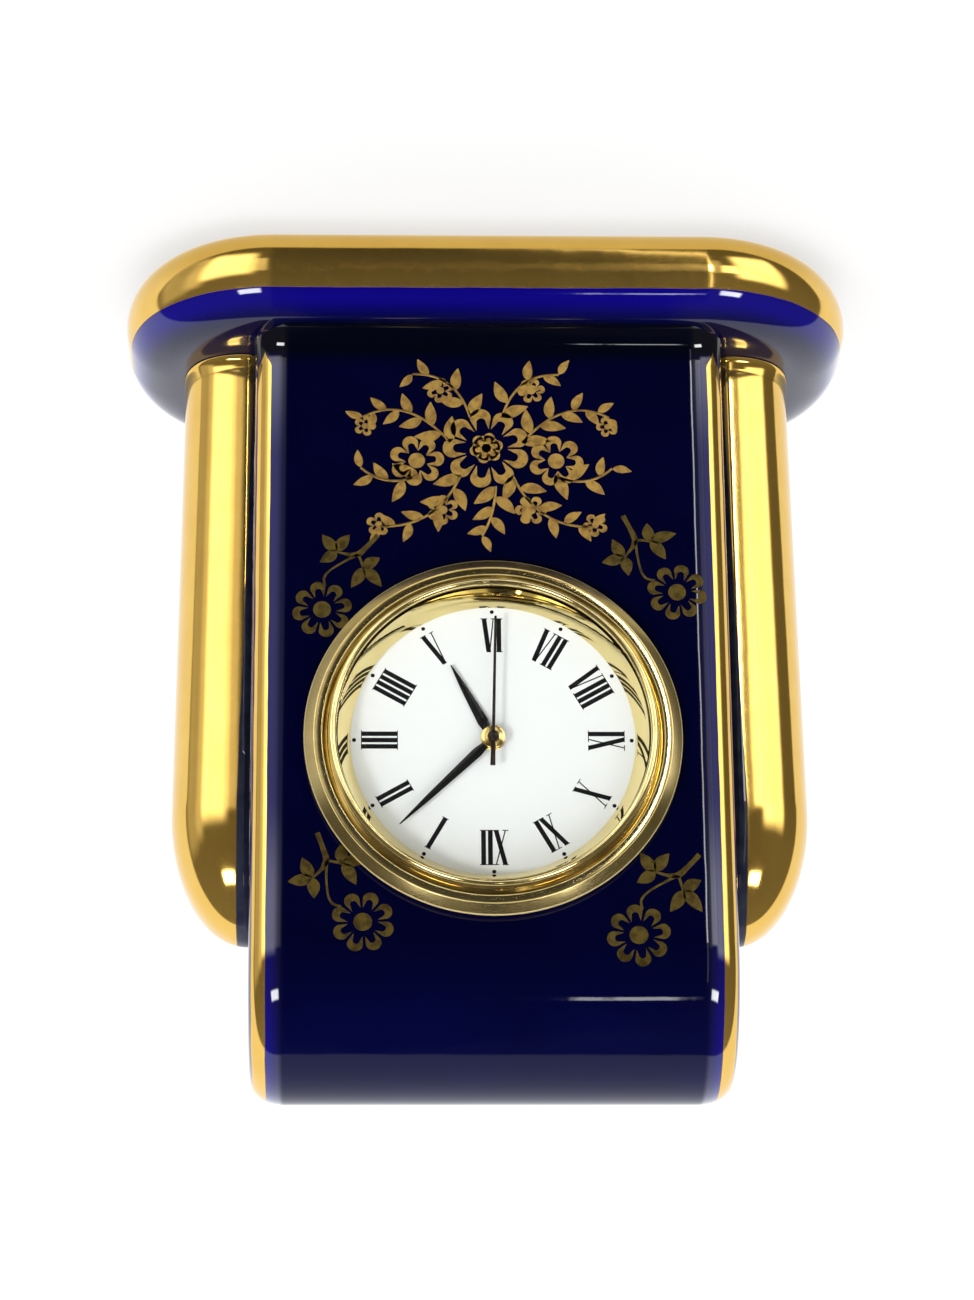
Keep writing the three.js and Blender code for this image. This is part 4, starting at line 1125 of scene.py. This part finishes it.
@dataclass
class Ornament:
    """Gold flower transfers on the front: four sprigs round the dial and a spray below it."""

    body: Body
    height: float = 0.035
    petal_count: int = 8
    petal_ring: float = 2.25
    sprig_turn: float = 11.0
    sprig_heart: float = 0.88
    bloom_heart: float = 0.42
    bloom_spacing: float = 8.6
    stem: float = 0.26
    middle: Point = (0.4, 23.4)
    sprigs: tuple[SprigPlace, ...] = (
        SprigPlace("sprig_lower_right", 16.78, 41.0, 0.0, 1.0),
        SprigPlace("sprig_lower_left", -18.39, 39.04, 66.7, 1.0),
        SprigPlace("sprig_upper_right", 12.68, 73.45, 60.5, 1.03),
        SprigPlace("sprig_upper_left", -13.82, 74.76, -2.0, 1.04),
    )
    branches: tuple[Branch, ...] = (
        Branch((3.6, -0.6), (8.0, -6.0), (12.4, -3.4), 9),
        Branch((2.6, 3.0), (5.0, 8.8), (10.6, 8.6), 8),
        Branch((1.6, -3.4), (3.0, -8.4), (7.4, -8.2), 6),
        Branch((6.8, 3.0), (10.0, 4.6), (12.6, 2.2), 5),
        Branch((-0.9, 4.2), (-0.8, 7.4), (0.5, 9.6), 6, (1,)),
    )
    blooms: tuple[Bloom, ...] = (
        Bloom(0, 0, 1.42, 9, 0), Bloom(0, 0, 0.74, 6, 15),
        Bloom(-7.0, 1.4, 1.08, 7, 20), Bloom(7.0, 1.4, 1.08, 7, -20),
        Bloom(-12.2, -2.4, 0.55, 5, 0), Bloom(12.2, -2.4, 0.55, 5, 36),
        Bloom(-10.8, 8.4, 0.62, 5, 12), Bloom(10.8, 8.4, 0.62, 5, 50),
        Bloom(-4.4, 6.8, 0.7, 6, 0), Bloom(4.4, 6.8, 0.7, 6, 30),
        Bloom(-4.6, -6.4, 0.6, 6, 8), Bloom(4.6, -6.4, 0.6, 6, 22),
    )

    def __post_init__(self) -> None:
        self.ring_tree = RingTree()
        self.branch_tree = BranchTree()

    def petal(self) -> Thing:
        """Builds one open petal, a thick arch with thin legs toward the middle."""
        outer = arc((0.05, 0), 0.68, 0.74, 114, -114, 16)
        inner = arc((-0.3, 0), 0.3, 0.34, -100, 100, 10)
        outline = [(-0.92, 0.44), *outer, (-0.92, -0.44), (-0.5, -0.36), *inner, (-0.5, 0.36)]
        return prism("petal", [outline], self.height)

    def flower(self, name: str, petal: Thing, count: int, radius: float, turn: float,
               heart: float) -> list[Thing]:
        """Builds a ring of petals and the round heart, about the origin."""
        ring = self.ring_tree.grow(name + "_petals", Shape=petal, Count=count, Radius=radius,
                                   Turn=math.radians(turn), Material=FINISH.transfer.material())
        return [ring, prism(name + "_heart", [circle(heart, 28)], self.height)]

    def sprig(self, place: SprigPlace, petal: Thing) -> None:
        """Builds one sprig: a flower on a thin stem, a cut stalk and two groups of three leaves."""
        outlines = [
            ribbon([(-0.3, -2.5), (-0.18, -3.38), (-0.73, -4.16), (-1.83, -4.94), (-2.85, -5.54),
                    (-3.5, -5.9)], [0.2, 0.26, 0.2, 0.22, 0.26, 0.34]),
            ribbon([(-1.5, -6.2), (-2.4, -5.95), (-3.1, -5.9), (-3.74, -6.08), (-4.59, -6.97),
                    (-5.54, -8.06)], [0.2, 0.3, 0.5, 0.6, 0.46, 0.5]),
            ribbon([(-3.6, -5.9), (-3.8, -5.3), (-4.05, -4.6)], [0.3, 0.24, 0.3]),
        ]
        for heart, tips in (((-1.45, -6.3), ((0.01, -8.04), (-2.69, -8.05), (0.23, -5.1))),
                            ((-4.08, -4.5), ((-5.7, -5.55), (-5.86, -2.46), (-2.87, -2.36)))):
            outlines += [leaf(heart, tip, 1.2, 0.08) for tip in tips]
        parts = [prism("stalks", outlines, self.height)]
        parts += self.flower("sprig", petal, self.petal_count, self.petal_ring, self.sprig_turn,
                             self.sprig_heart)
        thing = join(place.name, parts)
        for vertex in thing.data.vertices:
            turned = Matrix.Rotation(math.radians(place.turn), 2) @ vertex.co.xy * place.size
            vertex.co.xy = turned + Vector((place.x, place.z))
        self.lay(thing)

    def lay(self, thing: Thing, finish: Finish = FINISH.transfer) -> None:
        """Lays a drawing on the face and dresses it."""
        self.body.drape(thing)
        dress(thing, "case", "burnished_gold", finish)

    def spray(self, petal: Thing) -> None:
        """Builds the spray below the dial: a large flower, leafy branches and small flowers."""
        blade = prism("blade", [leaf((0.1, 0), (2.9, 0.2), 1.25, 0.14)], self.height)
        parts: list[Thing] = []
        middle = Vector(self.middle)
        for branch in self.branches:
            for side in branch.sides:
                start, bend, end = ((middle.x + side * x, middle.y + y, 0.0)
                                    for x, y in (branch.start, branch.bend, branch.end))
                parts.append(self.branch_tree.grow(
                    "branch", Start=start, Middle=bend, End=end, Leaf=blade, Count=branch.leaves,
                    Width=self.stem, Height=2 * self.height,
                    Material=FINISH.rich_transfer.material()))
        for bloom in self.blooms:
            ring = self.petal_ring * bloom.petals / self.bloom_spacing
            flower = self.flower("bloom", petal, bloom.petals, ring, bloom.turn,
                                 ring * self.bloom_heart)
            for part in flower:
                for vertex in part.data.vertices:
                    place = middle + Vector((bloom.x, bloom.y))
                    vertex.co.xy = vertex.co.xy * bloom.size + place
            parts += flower
        discard(blade)
        self.lay(join("flower_spray", parts), FINISH.rich_transfer)

    def build(self) -> None:
        """Builds all the transfers."""
        petal = self.petal()
        for place in self.sprigs:
            self.sprig(place, petal)
        self.spray(petal)
        discard(petal)


@dataclass
class Insert:
    """The round insert's frame of measure: forward is toward the viewer, from the body's face."""

    face: float = -12.0
    height: float = 54.6
    segments: int = 160

    def lathe(self, name: str, profile: Sequence[Point], crease: float = 32.0) -> Thing:
        """Turns a closed profile of (radius, forward) about the dial's axis."""
        count = len(profile)
        points = []
        for i in range(self.segments):
            turn = 2 * math.pi * i / self.segments
            s, c = math.sin(turn), math.cos(turn)
            points += [(r * s, self.face - f, self.height + r * c) for r, f in profile]
        faces = []
        for i in range(self.segments):
            a, b = i * count, (i + 1) % self.segments * count
            for k in range(count):
                m = (k + 1) % count
                corners = [a + k, a + m] + ([b + m] if profile[m][0] > 0 else [])
                corners += [b + k] if profile[k][0] > 0 else []
                if len(corners) > 2:
                    faces.append(corners)
        return smooth(new_object(name, points, faces), crease)

    def stand(self, thing: Thing, forward: float, turn: float = 0.0) -> Thing:
        """Stands a flat drawing up on the dial's axis, turned clockwise in degrees."""
        spin = Matrix.Rotation(math.radians(-turn), 4, "Z")
        for vertex in thing.data.vertices:
            x, z, height = spin @ vertex.co
            vertex.co = Vector((x, self.face - forward - height, self.height + z)) * MM
        return thing


@dataclass
class Bezel(Insert):
    """Stepped brass bezel with its barrel, the glass and the polished cone ring."""

    sight: float = 15.31
    lip: Point = (0.37, 0.32)
    lip_height: float = 2.72
    barrel: float = 16.9
    bore: float = 16.0
    barrel_end: float = -4.0
    seat: float = 2.5
    steps: tuple[Point, ...] = (
        (18.1, 0.1), (18.3, 0.6), (18.46, 1.0), (18.5, 1.14), (18.5, 1.26), (18.43, 1.34),
        (17.54, 1.92), (17.48, 1.93), (17.43, 1.88), (17.39, 1.91), (17.34, 1.95), (16.8, 1.99),
        (16.72, 1.98), (16.66, 1.92), (16.3, 1.5), (16.22, 1.45), (16.12, 1.45), (16.06, 1.52),
        (16.05, 2.5),
    )
    glass_edge: tuple[Point, ...] = (
        (0.0, 2.06), (15.78, 2.06), (15.85, 2.12), (15.85, 2.36), (15.75, 2.45), (0.0, 2.45),
    )
    cone_inside: float = 13.95
    cone_outside: float = 15.17
    cone_seat: float = 15.85
    cone_back: float = -0.15
    cone_low: float = 0.05
    cone_high: float = 2.0
    cone_hollow: float = 0.02
    cone_levels: int = 16

    def ring(self) -> None:
        """Builds the bezel."""
        profile = [(self.bore, self.barrel_end), (self.barrel, self.barrel_end),
                   (self.barrel, self.steps[0][1]), *self.steps,
                   *arc((self.sight + self.lip[0], self.lip_height), *self.lip, 0, 180, 16),
                   (self.sight, self.seat), (self.bore, self.seat)]
        dress(self.lathe("bezel_ring", profile, 28), "insert", "brass", FINISH.bezel,
              stands_for=["bezel"])

    def glass(self) -> None:
        """Builds the flat glass with its ground edge."""
        dress(self.lathe("flat_glass", self.glass_edge), "insert", "crystal_glass", FINISH.glass,
              stands_for=["crystal"])

    def cone(self) -> None:
        """Builds the polished ring between glass and dial, steeper toward the dial."""
        run, rise = self.cone_outside - self.cone_inside, self.cone_high - self.cone_low
        profile = [(self.cone_inside + 0.1, self.cone_back)]
        for share in shares(self.cone_levels):
            bulge = 4 * self.cone_hollow * share * (1 - share)
            profile.append((self.cone_inside + run * share, self.cone_low + rise * share + bulge))
        profile += [(self.cone_seat, self.cone_high), (self.cone_seat, self.cone_back)]
        dress(self.lathe("cone_ring", profile), "insert", "brass", FINISH.mirror,
              stands_for=["dial_ring"])

    def build(self) -> None:
        """Builds all three."""
        self.ring()
        self.glass()
        self.cone()


@dataclass
class Dial(Insert):
    """White dial with printed Roman numerals and hour dots."""

    radius: float = 15.85
    hole: float = 0.98
    front: float = -0.2
    thickness: float = 0.4
    figure_middle: float = 11.1
    figure_height: float = 3.6
    pitch: float = 0.66
    wide: float = 1.36
    thick: float = 0.46
    thin: float = 0.12
    serif: float = 0.085
    dot_ring: float = 13.58
    dot_radius: float = 0.2
    print_height: float = 0.012
    hours: str = "I II III IIII V VI VII VIII IX X XI XII"

    def bar(self, x0: float, x1: float, y0: float, y1: float) -> list[Point]:
        """Outline of an upright rectangle."""
        return [(x0, y0), (x1, y0), (x1, y1), (x0, y1)]

    def slant(self, low: float, high: float, width: float) -> list[Point]:
        """Outline of a stroke from a place on the lower line to one on the upper line."""
        half, rise = width / 2, self.figure_height / 2
        return [(low - half, -rise), (low + half, -rise), (high + half, rise), (high - half, rise)]

    def letter(self, sign: str, x: float) -> list[list[Point]]:
        """Outlines of one letter centred at x."""
        rise = self.figure_height / 2
        reach = self.wide / 2 - 0.22

        def serifs(middle: float, half: float, levels: Sequence[int]) -> list[list[Point]]:
            heights = [sorted((s * rise, s * (rise - self.serif))) for s in levels]
            return [self.bar(middle - half, middle + half, *pair) for pair in heights]

        if sign == "I":
            return [self.bar(x - self.thick / 2, x + self.thick / 2, -rise, rise),
                    *serifs(x, self.pitch / 2 + 0.02, (-1, 1))]
        if sign == "V":
            return [self.slant(x, x - reach, self.thick), self.slant(x + 0.1, x + reach, self.thin),
                    *serifs(x - reach, 0.34, (1,)), *serifs(x + reach, 0.24, (1,))]
        return [self.slant(x + reach, x - reach, self.thick),
                self.slant(x - reach, x + reach, self.thin),
                *serifs(x - reach, 0.3, (-1, 1)), *serifs(x + reach, 0.3, (-1, 1))]

    def figures(self) -> Thing:
        """Builds the twelve numerals, with their feet toward the middle."""
        parts = []
        for hour, signs in enumerate(self.hours.split(), 1):
            steps = [self.pitch if s == "I" else self.wide for s in signs]
            outlines: list[list[Point]] = []
            x = -sum(steps) / 2
            for sign, step in zip(signs, steps):
                outlines += self.letter(sign, x + step / 2)
                x += step
            raised = [[(px, py + self.figure_middle) for px, py in outline] for outline in outlines]
            figure = prism(f"hour_{hour}", raised, self.print_height)
            parts.append(self.stand(figure, self.front, 30 * hour))
        return join("numerals", parts)

    def dots(self) -> Thing:
        """Builds the ring of hour dots."""
        dot = prism("dot", [circle(self.dot_radius, 20)], self.print_height)
        ring = RingTree().grow("hour_dots", Shape=dot, Count=12, Radius=self.dot_ring, Turn=0.0,
                               Material=FINISH.ink.material())
        discard(dot)
        return self.stand(ring, self.front)

    def build(self) -> None:
        """Builds the disc and its print."""
        back = self.front - self.thickness
        profile = [(self.hole, back), (self.hole, self.front - 0.02),
                   (self.hole + 0.04, self.front), (self.radius - 0.05, self.front),
                   (self.radius, self.front - 0.05), (self.radius, back)]
        dress(self.lathe("dial_disc", profile), "insert", "dial_white", FINISH.dial,
              stands_for=["dial"])
        dress(self.figures(), "insert", "black_paint", FINISH.ink)
        dress(self.dots(), "insert", "black_paint", FINISH.ink)


@dataclass(frozen=True)
class Lance:
    """Sizes of an hour or minute hand and of the boss on it."""

    name: str
    body: str
    length: float
    width: float
    back: float
    tube: float
    boss_top: float
    turn: float


@dataclass
class Hands(Insert):
    """Black lance hands on gilt bosses, and the thin second hand with its cap."""

    thickness: float = 0.2
    eye: float = 1.1
    boss: float = 1.2
    boss_lift: float = 0.25
    root: float = 0.85
    root_share: float = 0.62
    shoulder: float = 2.1
    waist: Point = (0.55, 0.72)
    point: float = 0.05
    ridge_share: float = 0.35
    ridge_short: float = 0.04
    lances: tuple[Lance, ...] = (
        Lance("hour", "hours", 8.8, 1.1, 0.0, 0.86, 0.45, 152.4),
        Lance("minute", "minutes", 12.8, 1.0, 0.5, 0.6, 0.99, 45.5),
    )
    second_turn: float = 181.5
    second_back: float = 1.1
    second_edge: tuple[Point, ...] = (
        (-0.25, -3.1), (0.25, -3.1), (0.2, -0.4), (0.16, 0.6), (0.12, 12.6), (-0.12, 12.6),
        (-0.16, 0.6), (-0.2, -0.4),
    )
    cap_radius: float = 0.55
    cap_top: float = 1.42
    pin: tuple[Point, ...] = ((0.0, 1.36), (0.17, 1.36), (0.15, 1.45), (0.1, 1.47), (0.0, 1.475))

    def blade(self, name: str, outline: Sequence[Point], ridge: Sequence[Point], back: float,
              turn: float) -> Thing:
        """Builds a hand whose top rises from its outline to a narrower ridge.

        Args:
            name: object name.
            outline: edge of the hand, pointing along Y.
            ridge: the top, with a point for each point of the outline.
            back: forward place of its underside.
            turn: clockwise angle in degrees.

        Returns:
            The hand, standing on the dial's axis.
        """
        rise = self.thickness
        rings = [[(x, y, 0.0) for x, y in outline], [(x, y, rise * 0.5) for x, y in outline],
                 [(x, y, rise) for x, y in ridge]]
        thing = loft(name, rings)
        thing.data.transform(Matrix.Scale(1 / MM, 4))
        return self.stand(thing, back, turn)

    def lance(self, sizes: Lance) -> Thing:
        """Builds an hour or minute hand: a lance and the eye round its tube."""
        name, length, half, back = sizes.name + "_lance", sizes.length, sizes.width / 2, sizes.back
        right = [(half * self.root_share, self.root), (half, self.shoulder),
                 (half * self.waist[0], length * self.waist[1]), (self.point, length)]
        left = [(-x, y) for x, y in right]
        outline = [left[0], *right, *left[:0:-1]]
        ridge = [(x * self.ridge_share, y - self.ridge_short * (y == length)) for x, y in outline]
        lance = self.blade(name, outline, ridge, back, sizes.turn)
        top = back + self.thickness
        eye = self.lathe(name + "_eye", [(sizes.tube, back), (self.eye, back), (self.eye, top),
                                         (sizes.tube, top)])
        return smooth(join(name, [lance, eye]), 25)

    def dome(self, name: str, radius: float, bore: float, back: float, top: float) -> Thing:
        """Builds a domed ring or cap."""
        rise = (top - back) * 0.75
        profile = [(bore, back), (radius, back)]
        profile += [(max(bore, r), f) for r, f in arc((0, top - rise), radius, rise, 0, 90, 14)]
        return self.lathe(name, profile, 50)

    def build(self) -> None:
        """Builds and dresses all the hands."""
        for sizes in self.lances:
            dress(self.lance(sizes), sizes.body, "black_paint", FINISH.lacquer,
                  stands_for=[sizes.name + "_hand"])
            boss = self.dome(sizes.name + "_boss", self.boss, sizes.tube,
                             sizes.back + self.boss_lift, sizes.boss_top)
            dress(boss, sizes.body, "brass", FINISH.boss,
                  stands_for=[sizes.name + "_hand_collet"])
        ridge = [(x * 0.5, y) for x, y in self.second_edge]
        second = self.blade("second_bar", self.second_edge, ridge, self.second_back,
                            self.second_turn)
        cap = self.dome("second_cap", self.cap_radius, 0.0, self.second_back, self.cap_top)
        pointer = smooth(join("second_pointer", [second, cap]), 25)
        dress(pointer, "seconds", "black_paint", FINISH.cap, stands_for=["second_hand"])
        pin = self.lathe("second_pin", self.pin, 50)
        dress(pin, "seconds", "black_paint", FINISH.cap)


@dataclass
class Movement(Insert):
    """The parts inside the insert: CAD shapes with finishes, and a wound coil."""

    coil_radius: float = 1.5
    coil_length: float = 6.5
    wire: float = 0.1
    wire_pitch: float = 2.1
    coil_ends: tuple[Point, Point] = ((8.84, -8.84), (12.3, 0.0))

    def coil(self) -> None:
        """Winds the motor's coil where the CAD coil is."""
        low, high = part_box("coil")
        middle = (low + high) / 2 / MM
        (x0, z0), (x1, z1) = self.coil_ends
        axis = Vector((x1 - x0, 0.0, z1 - z0)).normalized()
        tilt = axis.to_track_quat("Z", "Y").to_euler()
        turns = self.coil_length / (self.wire_pitch * self.wire)
        thing = WindingTree().grow(
            "coil_winding", Turns=turns, Radius=self.coil_radius - self.wire,
            Length=self.coil_length - 2 * self.wire, Wire=self.wire, Tilt=tuple(tilt),
            Place=tuple(middle), Material=FINISH.wire.material())
        thing.data.transform(Matrix.Scale(MM, 4))
        thing.data.shade_smooth()
        dress(thing, "insert", "copper_wire", FINISH.wire, stands_for=["coil"])

    def finishes(self) -> dict[str, Finish]:
        """Lists the finish of every CAD piece that is shown as it is."""
        plan: dict[Finish, str] = {
            FINISH.rubber: "grip_ring",
            FINISH.black: "housing back_cover setting_knob chip rotor intermediate_wheel",
            FINISH.white: "main_plate train_bridge second_wheel third_wheel minute_wheel "
                          "hour_wheel",
            FINISH.wheel: "centre_wheel cannon_pinion setting_arbor front_contact back_contact",
            FINISH.steel: "bridge_screw_1 bridge_screw_2 bridge_screw_3 coil_core stator "
                          "quartz_can battery",
            FINISH.board: "circuit_board",
        }
        return {node: finish for finish, names in plan.items() for node in names.split()}

    def build(self) -> None:
        """Finishes the CAD pieces and winds the coil."""
        for node, finish in self.finishes().items():
            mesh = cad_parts[node].data
            mesh.materials.clear()
            mesh.materials.append(finish.material())
            LOG.info("%s: finished as %s", node, finish.name)
        self.coil()


@dataclass(frozen=True)
class Window:
    """A bright patch of the room, in degrees across from -Y toward +X, and up."""

    left: float
    right: float
    low: float
    high: float
    strength: float
    soft: float


@dataclass
class Studio:
    """Floor, surrounding light, side lamp and camera."""

    floor_half: float = 1500.0
    focal_pixels: float = 4237.0
    long_side: float = 1300.0
    sensor: float = 36.0
    place: tuple[float, float, float] = (12.865, -398.694, 202.329)
    azimuth: float = 1.83
    elevation: float = 22.11
    roll: float = 179.47
    fill: float = 0.7
    sky: float = 6.5
    lamp_strength: float = 1.4
    lamp_spread: float = 11.0
    lamp_course: tuple[float, float, float] = (-0.6, 0.75, -0.45)
    room: Colour = (0.1, 0.087, 0.055)
    dark: Colour = (0.022, 0.02, 0.017)
    dark_across: Span = (-7.0, 4.0)
    dark_soft: float = 3.0
    glow_least: float = 0.55
    glow_change: float = 0.9
    table: Colour = (1.06, 1.07, 1.1)
    near_table: Colour = (0.78, 0.73, 0.56)
    near_span: Span = (-0.9, -0.35)
    edge_bend: float = 0.2
    edge_tilt: float = 0.05
    edge_fall: float = 0.53
    edge_level: float = 0.3
    edge_soft: float = 0.025
    floor_glow: float = 0.7
    windows: tuple[Window, ...] = (
        Window(18, 57, -52, -8, 2.5, 6),
        Window(57, 70, -50, 0, 0.7, 6),
        Window(70, 94, -50, 4, 0.4, 6),
        Window(6.5, 18, -40, -12, 0.75, 2),
        Window(12, 30, 26, 35, 15.0, 1.5),
        Window(-66, -29, -50, -5, 2.5, 5),
        Window(-29, -17, -29, -14, 2.5, 2),
        Window(-17, -7.5, -40, -12, 0.45, 2),
        Window(-34, -17, 26, 35, 15.0, 1.5),
        Window(-9.3, -7.9, -70, 20, 2.5, 0.5),
        Window(-9.3, -7.9, -30, -16, 26.0, 0.5),
        Window(-5.3, -3.9, 33.5, 36.5, 18.0, 0.4),
    )

    def floor(self) -> None:
        """Builds the pale floor; the camera sees it white, with the clock's soft shadow."""
        h = self.floor_half
        corners = [(-h, -h, 0), (h, -h, 0), (h, h, 0), (-h, h, 0)]
        thing = new_object("floor", corners, [(0, 1, 2, 3)])
        p = Paint("floor_white")
        grain = p.mix(p.noise(400.0), (0.095, 0.095, 0.095), (0.1, 0.1, 0.1))
        seen = p.node("ShaderNodeLightPath", output="Is Camera Ray")
        surface = p.principled(Base_Color=grain, Roughness=0.9, Emission_Strength=self.floor_glow,
                               Emission_Color=p.mix(seen, (0, 0, 0), (1, 1, 1)))
        thing.data.materials.append(p.out(surface))
        thing.visible_glossy = False

    def reflections(self, t: Tree, x: Link, y: Link, z: Link) -> Link:
        """Makes what polished surfaces reflect: white behind, a dim room with windows in front."""
        degrees = 180 / math.pi
        across = t.math("ARCTAN2", x, -y) * degrees
        up = t.math("ARCSINE", z) * degrees
        glow: Link | float = 0.0
        for w in self.windows:
            pane = t.band(across, w.left, w.right, w.soft) * t.band(up, w.low, w.high, w.soft)
            glow = pane * w.strength + glow
        cloud = t.node("ShaderNodeTexNoise", {"Scale": 2.2, "Detail": 3.0})
        glow = glow * (self.glow_least + cloud * self.glow_change)
        dim = t.mix(t.band(across, *self.dark_across, self.dark_soft), self.room, self.dark)
        lit = t.node("ShaderNodeMix", {"Factor": 1.0, "A": dim, "B": glow},
                     data_type="RGBA", blend_type="ADD")
        edge = abs(x) * self.edge_bend - x * self.edge_tilt
        fall = t.math("MAXIMUM", -z - self.edge_level, 0.0) * self.edge_fall
        behind = t.step(y + fall - edge, -self.edge_soft, self.edge_soft)
        white = t.mix(t.step(z, *self.near_span), self.near_table, self.table)
        return t.mix(behind, lit, white)

    def light(self) -> None:
        """Builds the surroundings: soft light from all round, stronger from above."""
        world = bpy.data.worlds.new("studio")
        bpy.context.scene.world = world
        world.use_nodes = True
        t = Tree(world.node_tree)
        x, y, z = t.xyz(t.node("ShaderNodeTexCoord", output="Generated"))
        level = t.math("MAXIMUM", z, 0.0) ** 3.0 * self.sky + self.fill
        soft = t.node("ShaderNodeCombineXYZ", {"X": level, "Y": level, "Z": level})
        glossy = t.node("ShaderNodeLightPath", output="Is Glossy Ray")
        seen = t.node("ShaderNodeLightPath", output="Is Camera Ray")
        colour = t.mix(seen, t.mix(glossy, soft, self.reflections(t, x, y, z)), (1.0, 1.0, 1.0))
        t.node("ShaderNodeOutputWorld",
               {"Surface": t.node("ShaderNodeBackground", {"Color": colour})})

    def lamp(self) -> None:
        """Builds a soft lamp from the side, for the hands' shadows on the dial."""
        data = bpy.data.lights.new("side_lamp", "SUN")
        data.energy, data.angle = self.lamp_strength, math.radians(self.lamp_spread)
        thing = add_object("side_lamp", data)
        thing.rotation_euler = Vector(self.lamp_course).to_track_quat("-Z", "Y").to_euler()
        thing.visible_glossy = False

    def camera(self) -> None:
        """Places the camera as the picture was taken."""
        data = bpy.data.cameras.new("camera")
        data.sensor_width = self.sensor
        data.lens = self.sensor * self.focal_pixels / self.long_side
        data.clip_start, data.clip_end = 0.01, 10.0
        thing = add_object("camera", data)
        a, e = math.radians(self.azimuth), math.radians(self.elevation)
        back = Vector((math.sin(a) * math.cos(e), -math.cos(a) * math.cos(e), math.sin(e)))
        turn = (-back).to_track_quat("-Z", "Y").to_matrix().to_4x4()
        roll = Matrix.Rotation(math.radians(self.roll), 4, "Z")
        thing.matrix_world = Matrix.Translation(Vector(self.place) * MM) @ turn @ roll
        bpy.context.scene.camera = thing

    def build(self) -> None:
        """Builds the whole stage."""
        self.floor()
        self.light()
        self.lamp()
        self.camera()
        bpy.context.scene.view_settings.view_transform = "Standard"


def main() -> None:
    """Builds the clock and its stage."""
    logging.basicConfig(level=logging.INFO, format="%(name)s %(message)s")
    body = Body()
    body.build()
    Base().build()
    for node in ("left_column", "right_column"):
        Column(node).build()
    Ornament(body).build()
    for assembly in (Bezel(), Dial(), Hands(), Movement(), Studio()):
        assembly.build()


if __name__ == "__main__":
    main()
